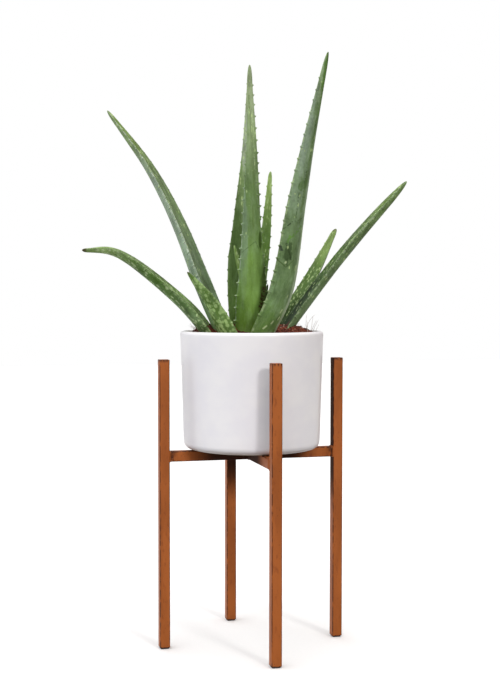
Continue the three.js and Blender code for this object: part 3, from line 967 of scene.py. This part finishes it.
# %% Table of leaves, inner ones first
LEAVES = {
    "leaf_young_left": {
        "path": [(-7, 5, -36), (-9, 6, 12), (-12, 7, 60), (-22, 8, 106)],
        "width": 17, "belly": 0.5, "fullness": 1.2, "bluntness": 0.45, "tip": (4, 8),
        "back": (200, 200), "teeth": (0.5, 0.5),
    },
    "leaf_young_right": {
        "path": [(1, 5, -36), (8, 6, -4), (15, 7, 28), (20, 8, 58)],
        "width": 13, "belly": 0.3, "fullness": 1.4, "bluntness": 0.45, "tip": (4, 7),
        "back": (350, 350), "teeth": (0, 0),
    },
    "leaf_front_centre": {
        "path": [(-5, -10, -46), (0, -14, 35), (0, -14, 114), (-2.2, -9, 190), (-4, -2, 274)],
        "width": 40, "belly": 0.26, "fullness": 0.8, "bluntness": 0.88, "tip": (4.5, 10),
        "back": (270, 270), "teeth": (1, 0.9),
    },
    "leaf_tall_back": {
        "path": [(-5, 14, -48), (-10, 24, 49), (-6, 30, 147), (-3, 34, 229), (-3, 38, 334)],
        "width": 42, "belly": 0.36, "fullness": 0.8, "bluntness": 0.74, "tip": (6.5, 20),
        "back": (92, 92), "teeth": (1, 0.4),
    },
    "leaf_tall_left": {
        "path": [(-18, 3, -52), (-61, 3, 47), (-94, 12, 132), (-131, 22, 206), (-182, 34, 276)],
        "width": 46, "belly": 0.27, "fullness": 0.9, "bluntness": 0.56, "tip": (10, 21),
        "back": (166, 162), "teeth": (0.6, 0.6),
    },
    "leaf_tall_right": {
        "path": [
            (2, -12, -60), (14, -26, -12), (41, -33, 52), (57, -42, 154), (70, -54, 231), (90, -64, 331),
        ],
        "width": 37, "belly": 0.4, "fullness": 1, "bluntness": 0.66, "tip": (8.2, 25),
        "back": (306, 310), "teeth": (0.8, 0.5),
    },
    "leaf_short_front": {
        "path": [(-14, -11, -58), (-29, -30, -12), (-50, -44, 33), (-77, -58, 72)],
        "width": 31, "belly": 0.31, "fullness": 1.2, "bluntness": 0.64, "tip": (6, 10),
        "back": (236, 232), "teeth": (0.5, 0.5),
    },
    "leaf_narrow_back": {
        "path": [(0, 16, -60), (7, 44, 26), (18, 56, 116), (24, 66, 203)],
        "width": 20, "belly": 0.29, "fullness": 1.2, "bluntness": 0.59, "tip": (5.6, 12),
        "back": (75, 70), "teeth": (0.7, 0.7),
    },
    "leaf_short_right": {
        "path": [(6, 10, -60), (41, 38, 2), (79, 56, 68), (109, 74, 130)],
        "width": 30, "belly": 0.31, "fullness": 1.3, "bluntness": 0.6, "tip": (9.6, 12),
        "back": (45, 45), "teeth": (0.7, 0.7),
    },
    "leaf_long_right": {
        "path": [(9, 2, -66), (44, 10, -3), (93, 22, 65), (140, 36, 125), (197, 50, 189)],
        "width": 34, "belly": 0.41, "fullness": 2, "bluntness": 0.45, "tip": (8, 30),
        "back": (12, 10), "teeth": (0.6, 0.6),
    },
    "leaf_low_left": {
        "path": [(-19, -1, -66), (-59, -6, 0), (-102, -12, 47), (-162, -18, 94), (-207, -24, 99)],
        "width": 43, "belly": 0.35, "fullness": 1.1, "bluntness": 0.64, "tip": (10, 10),
        "back": (176, 172), "teeth": (0.5, 0.5),
    },
}
print("leaves in the table:", len(LEAVES))


# %% Middle line and directions of a leaf
def curve_through(path, t):
    """Places and directions at the shares t of a smooth curve through the points of path."""
    path = np.asarray(path, float)
    points = np.vstack([2 * path[0] - path[1], path, 2 * path[-1] - path[-2]])
    spans = len(path) - 1
    span = np.minimum((t * spans).astype(int), spans - 1)
    s = (t * spans - span)[:, None]
    before, start, end, after = (points[span + k] for k in range(4))
    leave, arrive = (end - before) / 2, (after - start) / 2
    cubic = 2 * start - 2 * end + leave + arrive
    square = 3 * end - 3 * start - 2 * leave - arrive
    place = ((cubic * s + square) * s + leave) * s + start
    direction = (3 * cubic * s + 2 * square) * s + leave
    return place, direction / np.linalg.norm(direction, axis=1, keepdims=True)


def leaf_directions(leaf, t):
    """At each t: the middle, the direction along, the one across, and the one out of the channelled face."""
    middle, along = curve_through(leaf["path"], t)
    first, last = leaf["back"]
    compass = np.radians(first + (last - first) * t)
    across = np.stack([-np.sin(compass), np.cos(compass), np.zeros_like(t)], axis=1)
    across -= along * np.sum(across * along, axis=1, keepdims=True)
    across /= np.linalg.norm(across, axis=1, keepdims=True)
    return middle, along, across, np.cross(along, across)


# %% Section of a leaf
NECK_SHARE = 0.8
CHANNEL_SHARE = 0.09
BACK_SHARE = 0.34
BACK_FULLNESS = 2.2
BACK_BLUNTNESS = 0.8
TIP_RIDGE_SHARE = 0.1
TIP_BACK_SHARE = 0.08
TIP_BLEND = 6
FACE_STEPS = 14
BACK_STEPS = 22


def leaf_width(leaf, t):
    """The width at each t, from 0 at the stem to 1 at the tip: a neck, a belly, a taper and a rounded end."""
    belly = leaf["belly"]
    neck = NECK_SHARE + (1 - NECK_SHARE) * np.sin(math.pi / 2 * np.minimum(t / belly, 1))
    to_tip = np.clip((t - belly) / (1 - belly), 0, 1)
    taper = leaf["width"] * np.maximum(1 - to_tip ** leaf["fullness"], 0) ** leaf["bluntness"]
    path_length = np.linalg.norm(np.diff(np.array(leaf["path"], float), axis=0), axis=1).sum()
    end_width, end_length = leaf["tip"]
    into_end = np.maximum(1 - (1 - t) * path_length / end_length, 0)
    end = end_width * np.sqrt(np.maximum(1 - into_end**2, 0))
    blended = (taper**TIP_BLEND + end**TIP_BLEND) ** (1 / TIP_BLEND)
    return np.where(t < belly, leaf["width"] * neck, blended)


def section_sides():
    """The sides of the section's points, from -1 to 1 over the face and back over the rounded back."""
    face = -np.cos(math.pi * np.arange(FACE_STEPS + 1) / FACE_STEPS)
    back = np.cos(math.pi * np.arange(1, BACK_STEPS) / BACK_STEPS)
    on_face = np.concatenate([np.ones(FACE_STEPS + 1), np.zeros(BACK_STEPS - 1)])
    return np.concatenate([face, back]), on_face


def section_heights(t, width, side, on_face):
    """Heights of the section's points over the middle line, for each t down and each side across."""
    depth = CHANNEL_SHARE * (1 - smoothed(t, 0.3, 0.9)) - TIP_RIDGE_SHARE * smoothed(t, 0.5, 1)
    back = BACK_SHARE + TIP_BACK_SHARE * smoothed(t, 0.4, 1)
    depth, back, width = depth[:, None], back[:, None], width[:, None]
    over_face = -depth * width * (1 - side**2)
    under_back = -back * width * np.maximum(1 - np.abs(side) ** BACK_FULLNESS, 0) ** BACK_BLUNTNESS
    return np.where(on_face > 0, over_face, under_back) + (back + depth) / 2 * width


# %% [markdown]
# Teeth
# The teeth are small forward-leaning triangles that grow out of the margin, so they aren't stuck on: the
# rings of points are set closer where a tooth comes, and the outermost points are pulled out and forward.
# Their places follow a spacing with a small seeded jitter, wider near the stem than near the tip.

# %% Places and pull of the teeth
TOOTH_SPACING = 17
TOOTH_LENGTH = 2.6
TOOTH_HALF_BASE = 1.9
TOOTH_LEAN = 0.45
FIRST_TOOTH = 0.17
FIRST_TOOTH_JITTER = 0.03
LAST_TOOTH = 0.95
PULL_START = 0.8
PULL_POWER = 1.6
TOOTH_STEPS = (-1, -0.7, -0.4, -0.15, 0, 0.15, 0.4, 0.7, 1)
RING_SPACING = 2.6
CLOSEST_RINGS = 0.18
END_LENGTH = 14
END_RINGS = 20
LAST_RING = 0.25


def tooth_places(leaf, length, draws):
    """For each tooth: its margin (-1 or 1), its place along in mm, and its size."""
    teeth = []
    for margin, largest in zip((-1, 1), leaf["teeth"]):
        t = FIRST_TOOTH + FIRST_TOOTH_JITTER * draws.random()
        while largest > 0 and t < LAST_TOOTH:
            narrowing = float(leaf_width(leaf, np.array([t]))[0]) / leaf["width"]
            teeth.append((margin, t * length, largest * (0.6 + 0.4 * narrowing)))
            t += TOOTH_SPACING * (1 - 0.25 * t) * draws.uniform(0.85, 1.15) / length
    return teeth


def tooth_half_base(size):
    return TOOTH_HALF_BASE * (0.6 + 0.4 * size)


def ring_places(length, teeth):
    """Places along the leaf for its rings: even ones, closer at the tip, and some for each tooth."""
    end = length - LAST_RING
    places = list(np.arange(0, length - END_LENGTH, RING_SPACING))
    places += list(np.linspace(length - END_LENGTH, end, END_RINGS))
    for _, place, size in teeth:
        places += [place + tooth_half_base(size) * step for step in TOOTH_STEPS]
    places = sorted(place for place in places if 0 <= place <= end)
    kept = [places[0]]
    for place in places[1:]:
        if place - kept[-1] > CLOSEST_RINGS:
            kept.append(place)
    return np.array(kept)


def tooth_pull(places, side, teeth):
    """How far each point of the rings is pulled out by a tooth, in mm."""
    pull = np.zeros((len(places), len(side)))
    reach = smoothed(np.abs(side), PULL_START, 1) ** PULL_POWER
    for margin, place, size in teeth:
        rise = np.clip(1 - np.abs(places - place) / tooth_half_base(size), 0, 1)
        pull = np.maximum(pull, TOOTH_LENGTH * size * rise[:, None] * (reach * (side * margin > 0))[None])
    return pull


# %% Shape of one leaf
CURVE_SAMPLES = 600
SWELL = 0.35
SWELL_SIZE_ACROSS = 16
SWELL_SIZE_ALONG = 38
FULL_SWELL_WIDTH = 30


def shape_leaf(leaf, draws):
    """The leaf's rings of points in the frame's metres, and the numbers that its finish reads at each."""
    t_fine = np.linspace(0, 1, CURVE_SAMPLES)
    line = curve_through(leaf["path"], t_fine)[0]
    reach = np.concatenate([[0], np.cumsum(np.linalg.norm(np.diff(line, axis=0), axis=1))])
    length = reach[-1]
    teeth = tooth_places(leaf, length, draws)
    places = ring_places(length, teeth)
    t = np.interp(places, reach, t_fine)
    middle, along, across, face = leaf_directions(leaf, t)
    side, on_face = section_sides()
    width = leaf_width(leaf, t)
    height = section_heights(t, width, side[None], on_face[None])
    pull = tooth_pull(places, side, teeth)
    lateral = width[:, None] / 2 * side[None] + pull * np.sign(side)[None]
    offset = draws.uniform(0, 100)
    swell = np.zeros_like(height)
    for row, place in enumerate(places):
        for column, lean in enumerate(side):
            across_swell, along_swell = lean * width[row] / SWELL_SIZE_ACROSS, place / SWELL_SIZE_ALONG
            spot = Vector((across_swell, along_swell, offset + 3 * on_face[column]))
            swell[row, column] = SWELL * noise.noise(spot) * (1 - lean * lean)
    height = height + swell * min(1, leaf["width"] / FULL_SWELL_WIDTH)
    rings = middle[:, None] + across[:, None] * lateral[..., None] + face[:, None] * height[..., None]
    rings += along[:, None] * (TOOTH_LEAN * pull)[..., None]
    count = len(side)
    numbers = {
        "along": np.repeat(places / length, count),
        "across": np.tile(side, len(places)),
        "face": np.tile(on_face, len(places)),
        "tooth": (pull / TOOTH_LENGTH * np.abs(side) ** 9).ravel(),
        "lateral": lateral.ravel() * MM,
        "reach": np.repeat(places, count) * MM,
    }
    tip = curve_through(leaf["path"], np.array([1.0]))[0][0]
    return rings, middle[0], tip, numbers, len(teeth)


def to_frame(points):
    """Points of the plant, in mm from the middle of the rim, as places in the frame."""
    points = np.asarray(points, float) * MM
    cosine, sine = math.cos(PLANT_TURN), math.sin(PLANT_TURN)
    x, y, z = points[..., 0], points[..., 1], points[..., 2]
    return np.stack([x * cosine - y * sine, x * sine + y * cosine, z + RIM_HEIGHT], axis=-1)


# %% [markdown]
# Leaf skin
# The skin is waxy: a blue-grey bloom lies over greener flesh, and where neighbours or fingers rubbed it off,
# the leaf is darker and glossier. Pale flecks, drawn out along the leaf, lie in loose bands, mostly on the
# young and low leaves. Margins and teeth are pale, and some tips are dry. A painted texture would hold all
# that, but it goes soft when seen close, so the marks are formulas of two leaf coordinates: how far along,
# and how far across. Each leaf has its own tones on the side that shows most, and some have marks on it.

# %% Coordinates and tones of a leaf
STORED = ("along", "across", "face", "tooth", "lateral", "reach")
TONE_STEPS = ((0.12, 0.34), (0.4, 0.6), (0.68, 0.9))


def leaf_coordinates(start, seed):
    """The numbers that a leaf's mesh stores, and the flat place that its patterns lie on."""
    on = {name: stored(start, name) for name in STORED}
    layer = on["face"] * 0.05 + 0.31 * seed
    on["place"] = start.node("CombineXYZ", {}, {"X": on["lateral"], "Y": on["reach"], "Z": layer})
    return on


def run_of_tones(along, tones):
    """A leaf's four tones one after another, from its base to its tip."""
    colour = tone(*tones[0])
    for following, (first, last) in zip(tones[1:], TONE_STEPS):
        colour = mix(colour, tone(*following), ease(along, first, last))
    return colour


# %% Marks on a leaf
def patch_mask(mark, on, size):
    """A soft oval with a ragged rim. Its centre and half sizes are shares across and along the leaf."""
    across, along = mark["at"]
    wide, long = mark["half"]
    half_width, length = size(along)
    x = (on["lateral"] - across * half_width) * (1 / (wide * half_width))
    y = (on["reach"] - along * length) * (1 / (long * length))
    rag = cloud(stretched(on["place"], 1, 0.45, 1), 0.0036, 3)
    return ease(x * x + y * y + (rag - 0.5) * mark["rag"], 1.35, 0.55)


def stroke_mask(mark, on, size):
    """A thin line between two points of the leaf, broken up by noise."""
    (across, along), (across_end, along_end) = mark["from"], mark["to"]
    half_start, length = size(along)
    half_end = size(along_end)[0]
    start_x, start_y = across * half_start, along * length
    run = Vector((across_end * half_end - start_x, along_end * length - start_y))
    lean = run.normalized()
    x, y = on["lateral"] - start_x, on["reach"] - start_y
    beside = abs(y * lean.x - x * lean.y)
    past = abs(x * lean.x + y * lean.y - run.length / 2)
    wide, gaps = mark["wide"] * MM, mark["gaps"]
    broken = ease(cloud(on["place"], 0.0021, 2), 0.3 + gaps, 0.42 + gaps)
    within = ease(past, run.length / 2 + 0.6 * MM, run.length / 2 - 0.6 * MM)
    return ease(beside, wide, wide * 0.35) * within * broken


def patch(at, half, strength, colour=None, rag=2.2):
    """An oval mark: centre and half sizes as shares across and along, and how ragged its rim is."""
    return {"mask": patch_mask, "at": at, "half": half, "strength": strength, "colour": colour, "rag": rag}


def stroke(start, end, wide, strength, colour, gaps=0.1):
    """A line as a mark: its ends as shares across and along, its width in mm, and how broken it is."""
    ends = {"from": start, "to": end, "wide": wide}
    return {"mask": stroke_mask, **ends, "strength": strength, "colour": colour, "gaps": gaps}


# %% Flecks and margins of a leaf
def leaf_flecks(on, looks, grain, size):
    """Where the pale flecks are: cells drawn out along the leaf, some of them chosen by bands and patches."""
    wide, long = looks["fleck_size"]
    distance = cells(stretched(on["place"], 1 / (wide * MM), 1 / (long * MM), 12), 1.0, "Distance")
    draw = distance.node("SeparateColor", {}, {0: distance.other("Color")}, 0)
    band = cloud(stretched(on["place"], 0.35, 1, 1), 0.012, 2)
    first, last = looks["flecks"]
    share = first + on["along"] * (last - first) + (band - 0.5) * 1.6
    for dense in looks["flecked"]:
        share = share + patch_mask(dense, on, size) * dense["strength"]
    rim = looks["fleck_rim"]
    return ease(distance + (grain - 0.5) * 0.5, rim, rim * 0.6) * ease(draw - share, 0.06, -0.06)


def leaf_margin(on, looks):
    """Where the pale lines along the two margins are. Noise leaves them faint here and there."""
    dashes = ease(cloud(stretched(on["place"], 0.2, 1, 1), 0.0048, 1), 0.49, 0.6)
    line = ease(abs(on["across"]), 0.9, 0.97) * (0.15 + dashes * 0.85)
    one_side, other_side = looks["margins"]
    return line * (one_side + ease(on["across"], -0.1, 0.1) * (other_side - one_side))


# %% Finish of a leaf
def leaf_skin(name, looks, seed, size):
    """The finish of a leaf. size gives its half width and its length, in metres, at a share along."""
    finish, start = new_finish(name + "_skin")
    on = leaf_coordinates(start, seed)
    place, along = on["place"], on["along"]
    on_face = ease(on["face"], 0.3, 0.7)
    back = run_of_tones(along, looks["back_tones"])
    colour = mix(back, run_of_tones(along, looks["face_tones"]), on_face)

    mottle = cloud(stretched(place, 1, 0.35, 1), 0.0062, 3)
    zone = cloud(stretched(place, 1, 0.4, 1), 0.012, 2)
    grain = cloud(stretched(place, 1, 0.55, 1), 0.0015, 2)
    strand = cloud(stretched(place, 1, 0.045, 1), 0.0013, 2)
    worn = cloud(stretched(place, 1, 0.16, 1), 0.0028, 3)
    scuff = ease(worn, 0.55, 0.66) * ease(cloud(place, 0.03), 0.42, 0.6) * looks["scuffs"]
    bloom = ease(mottle, 0.42, 0.62) * looks["bloom"] * (1 - scuff)
    colour = mix(colour, tone(*WAX), bloom)
    colour = mix(colour, darker(tone(*looks["back_tones"][1]), 0.45), scuff * 0.7)

    seen = on_face if looks["marks_on"] == "face" else 1 - on_face
    for mark in looks["marks"]:
        share = mark["mask"](mark, on, size) * seen * mark["strength"]
        colour = mix(colour, tone(*mark["colour"]), share)
    flecks = leaf_flecks(on, looks, grain, size)
    colour = mix(colour, tone(*looks["fleck_tone"]), flecks * 0.75)
    colour = mix(colour, tone(*looks["margin"]), leaf_margin(on, looks))
    colour = mix(colour, tone(*looks["tooth_tone"]), ease(on["tooth"], 0.3, 0.7) * 0.85)
    dry = ease(along + (grain - 0.5) * 0.03, 0.975, 0.99) * looks["dry_tip"]
    colour = mix(colour, tone(74, 56, 34), dry)
    stain = ease(along, 0.22, 0.1) * ease(cloud(place, 0.006, 3), 0.5, 0.72)
    colour = mix(colour, tone(88, 62, 40), stain * 0.3)

    contrast = looks["contrast"]
    fine = (grain - 0.5) * (0.5 * contrast) + (strand - 0.5) * (0.45 * contrast)
    shade = 1 + fine + (mottle - 0.5) * (0.6 * contrast) + (zone - 0.5) * (1.2 * contrast)
    height = strand * 0.15 + mottle * 0.7 + flecks * 0.3 + grain * 0.1
    close_finish(
        start,
        {
            "Base Color": colour.node("VectorMath", {"operation": "SCALE"}, {0: colour, "Scale": shade}),
            "Roughness": 0.46 + bloom * 0.14 - scuff * 0.08 + flecks * 0.05,
            "Subsurface Weight": 0.06,
            "Subsurface Radius": (0.5, 1.0, 0.25),
            "Subsurface Scale": 0.003,
            "Specular IOR Level": looks["gloss"],
            "Normal": relief(height, 0.00025, 0.55),
        },
    )
    return finish


# %% Looks of each leaf
WAX = (146, 162, 142)
RUBBED = (66, 86, 40)
PLAIN_LEAF = {
    "slot": "leaf",
    "back_tones": ((104, 136, 66), (106, 132, 82), (112, 136, 88), (124, 146, 96)),
    "face_tones": ((90, 116, 62), (98, 124, 78), (104, 128, 78), (116, 138, 84)),
    "bloom": 0.1, "scuffs": 0.2, "contrast": 1.0, "gloss": 0.12,
    "flecks": (0.0, 0.25), "flecked": [], "fleck_size": (2.4, 7.0), "fleck_rim": 0.46,
    "fleck_tone": (176, 198, 136), "margin": (160, 182, 132), "margins": (0.5, 0.5),
    "tooth_tone": (182, 200, 150), "dry_tip": 0.0, "marks_on": "back", "marks": [],
}
FRONT_MARKS = [
    patch((-0.8, 0.5), (0.42, 0.24), 0.75, (120, 143, 110), rag=1.4),
    patch((-0.1, 0.33), (0.7, 0.11), 0.5, (114, 148, 66), rag=1.0),
    # The next two marks are painted shade: a dark green lower right flank and a dark brown strip in the gap
    # beside it
    patch((0.9, 0.26), (0.42, 0.17), 0.8, (66, 84, 34), rag=1.0),
    stroke((0.86, 0.315), (0.5, 0.225), 3.6, 0.9, (62, 34, 22), gaps=0.14),
    stroke((0.34, 0.487), (-0.95, 0.444), 0.9, 0.5, (62, 84, 42), gaps=0.06),
    stroke((0.34, 0.487), (0.6, 0.46), 1.0, 0.5, (62, 84, 42)),
    patch((0.8, 0.492), (0.16, 0.036), 0.95, (50, 72, 22), rag=0.8),
    patch((0.2, 0.58), (0.16, 0.05), 0.5, (84, 108, 48)),
]
TALL_RIGHT_MARKS = [
    patch((0.1, 0.7), (0.22, 0.2), 0.6, (90, 116, 62), rag=3.4),
    patch((0.85, 0.3), (0.5, 0.34), 0.9, (172, 194, 158), rag=0.9),
    patch((-0.85, 0.8), (0.42, 0.16), 0.6, (140, 157, 136), rag=1.8),
    patch((-0.5, 0.4), (0.7, 0.14), 0.5, (84, 108, 62)),
    patch((0.1, 0.94), (0.7, 0.07), 0.85, (74, 108, 38)),
    patch((-0.1, 0.83), (0.6, 0.024), 0.5, (84, 110, 58), rag=3.4),
    patch((-0.2, 0.615), (0.42, 0.02), 0.6, (78, 110, 46), rag=4.4),
    patch((-0.42, 0.405), (0.24, 0.03), 0.75, (54, 74, 38), rag=4.6),
    stroke((0.0, 0.82), (0.12, 0.68), 1.5, 0.7, (72, 98, 52), gaps=0.14),
    stroke((-0.15, 0.68), (0.0, 0.56), 1.7, 0.7, (76, 100, 58), gaps=0.15),
    stroke((0.15, 0.62), (0.2, 0.47), 1.8, 0.7, (82, 106, 62), gaps=0.14),
    stroke((-0.4, 0.59), (-0.3, 0.5), 1.2, 0.7, (66, 88, 50), gaps=0.14),
    stroke((-0.95, 0.428), (-0.78, 0.41), 1.7, 0.9, (52, 62, 48), gaps=-0.1),
    stroke((-0.66, 0.436), (-0.2, 0.386), 1.6, 0.85, (48, 66, 34)),
    stroke((-0.5, 0.45), (0.3, 0.49), 2.0, 0.8, (88, 126, 56)),
    stroke((-0.5, 0.46), (-0.6, 0.435), 1.8, 0.8, (88, 126, 56)),
    stroke((-0.97, 0.384), (-0.48, 0.364), 0.9, 0.8, RUBBED, gaps=0),
    stroke((-0.48, 0.364), (0.0, 0.388), 0.9, 0.7, RUBBED, gaps=0.04),
    stroke((-0.92, 0.474), (-0.45, 0.503), 0.8, 0.9, (44, 60, 34)),
    stroke((-0.3, 0.5), (0.9, 0.53), 0.7, 0.6, RUBBED, gaps=0.12),
    patch((-0.7, 0.17), (0.5, 0.06), 0.5, (94, 126, 60)),
]
PALE_FLECKS = (
    ((0.06, 0.225), (0.12, 0.239)),
    ((0.14, 0.204), (0.2, 0.216)),
    ((-0.24, 0.186), (-0.16, 0.198)),
    ((-0.6, 0.163), (-0.44, 0.177)),
    ((-0.55, 0.374), (-0.5, 0.381)),
    ((0.3, 0.366), (0.34, 0.374)),
)
for first, last in PALE_FLECKS:
    TALL_RIGHT_MARKS.append(stroke(first, last, 1.3, 0.8, (186, 204, 152), gaps=-0.3))
LOOKS = {
    "leaf_young_left": {
        "back_tones": ((126, 158, 78), (136, 168, 88), (138, 170, 90), (132, 164, 84)),
        "flecks": (0.3, 0.5), "scuffs": 0.1,
    },
    "leaf_young_right": {
        "slot": "dark_leaf",
        # Its dark tones are painted shade, for a leaf deep in the crown
        "back_tones": ((60, 84, 30), (64, 90, 32), (66, 92, 34), (58, 80, 32)),
    },
    "leaf_front_centre": {
        "back_tones": ((100, 134, 48), (106, 137, 70), (98, 124, 72), (138, 159, 112)),
        "flecks": (-0.6, 0.2), "marks": FRONT_MARKS, "margin": (158, 178, 148),
        "margins": (1.0, 0.3), "tooth_tone": (198, 212, 176), "contrast": 0.75,
    },
    "leaf_tall_back": {
        "slot": "dark_leaf",
        "face_tones": ((112, 146, 68), (110, 138, 80), (116, 140, 88), (152, 168, 126)),
        "flecks": (-0.4, 0.15),
        "flecked": [patch((0.3, 0.68), (1.0, 0.15), 0.55)],
        "tooth_tone": (120, 134, 84), "margins": (0.1, 0.5), "marks_on": "face",
        "marks": [
            patch((0.8, 0.77), (0.4, 0.13), 0.65, (158, 169, 150)),
            patch((0.7, 0.42), (0.4, 0.12), 0.6, (88, 114, 60)),
            stroke((0.25, 0.9), (-0.1, 0.6), 1.3, 0.6, (96, 124, 70)),
            stroke((-0.5, 0.85), (-0.6, 0.6), 1.1, 0.6, (160, 180, 134)),
        ],
    },
    "leaf_tall_left": {
        "gloss": 0.08, "bloom": 0.15,
        "back_tones": ((150, 175, 134), (150, 171, 146), (146, 164, 140), (132, 156, 104)),
        "face_tones": ((92, 114, 76), (100, 122, 88), (104, 127, 82), (104, 128, 62)),
        "flecks": (-0.1, 0.4), "margin": (196, 208, 188), "margins": (0.4, 0.8), "marks_on": "face",
        "marks": [
            patch((0.85, 0.45), (0.3, 0.2), 0.8, (154, 172, 144), rag=1.4),
            patch((-0.2, 0.3), (0.3, 0.06), 0.5, RUBBED, rag=3.4),
        ],
    },
    "leaf_tall_right": {
        "bloom": 0.15,
        "back_tones": ((104, 138, 72), (112, 138, 94), (124, 146, 112), (128, 149, 110)),
        "flecks": (-0.2, 0.1),
        "flecked": [patch((0.5, 0.06), (0.7, 0.1), 0.7)],
        "scuffs": 0.9, "margin": (166, 186, 136), "margins": (0.7, 0.6), "marks": TALL_RIGHT_MARKS,
    },
    "leaf_short_front": {
        "slot": "spotted_leaf",
        "back_tones": ((88, 118, 60), (92, 124, 64), (94, 126, 60), (106, 138, 70)),
        "flecks": (1.1, 0.8), "fleck_size": (3.0, 4.8), "fleck_rim": 0.66,
        "fleck_tone": (166, 197, 128), "dry_tip": 0.8,
    },
    "leaf_narrow_back": {
        "slot": "dark_leaf",
        "face_tones": ((88, 118, 54), (94, 124, 60), (106, 137, 68), (142, 168, 98)),
        "flecks": (0.2, 0.4),
    },
    "leaf_short_right": {
        "slot": "spotted_leaf",
        "face_tones": ((74, 98, 56), (54, 76, 34), (84, 112, 52), (120, 145, 76)),
        "flecks": (0.25, 0.4),
        "flecked": [patch((0.0, 0.55), (1.2, 0.18), 0.5)],
        "fleck_size": (2.6, 5.4), "dry_tip": 0.6,
    },
    "leaf_long_right": {
        "gloss": 0.05,
        "back_tones": ((112, 140, 98), (106, 132, 86), (106, 132, 82), (114, 141, 84)),
        # Its very dark face tones, darkest at the base, are painted shade in its channel
        "face_tones": ((26, 50, 8), (40, 68, 14), (66, 94, 32), (88, 112, 48)),
        "flecks": (0.2, 0.5), "margin": (166, 186, 150), "margins": (0.9, 0.3), "marks_on": "face",
        "marks": [
            patch((-0.85, 0.6), (0.34, 0.4), 0.8, (104, 130, 74), rag=1.4),
            # Painted shade in the channel near the base
            patch((0.7, 0.25), (0.6, 0.22), 0.7, (18, 36, 6), rag=1.4),
            patch((0.3, 0.24), (0.3, 0.03), 0.7, (86, 50, 30), rag=3.0),
        ],
        "contrast": 1.2,
    },
    "leaf_low_left": {
        "slot": "spotted_leaf", "gloss": 0.08,
        "back_tones": ((100, 128, 80), (92, 120, 70), (80, 112, 46), (142, 170, 104)),
        "face_tones": ((160, 190, 120), (128, 160, 90), (80, 110, 40), (110, 134, 72)),
        "flecks": (0.3, 0.75), "fleck_size": (2.6, 5.8), "fleck_rim": 0.56,
        "fleck_tone": (178, 200, 148), "dry_tip": 0.9, "contrast": 1.4,
    },
}


# %% Build the rosette
def build_leaf(name, seed):
    draws = random.Random(seed)
    rings, stem_end, tip, numbers, tooth_count = shape_leaf(LEAVES[name], draws)
    points, faces = skin(to_frame(rings), to_frame(stem_end), to_frame(tip))
    looks = {**PLAIN_LEAF, **LOOKS[name]}
    length = float(numbers["reach"].max())

    def size(along):
        return float(leaf_width(LEAVES[name], np.array([along]))[0]) / 2 * MM, length

    finish = leaf_skin(name, looks, seed, size)
    leaf = add_piece(name + "_blade", points, faces, finish, looks["slot"], [name])
    at_ends = {"along": (0, 1), "across": (0, 0), "face": (0, 0), "tooth": (0, 0), "lateral": (0, 0)}
    at_ends["reach"] = (0, length)
    for attribute, values in numbers.items():
        keep_values(leaf, attribute, np.concatenate([values, at_ends[attribute]]))
    print(name, "teeth:", tooth_count, "faces:", faces_of([leaf]))
    return leaf


leaves = [build_leaf(name, seed) for seed, name in enumerate(LEAVES, start=1)]
print("leaf faces in all:", faces_of(leaves))
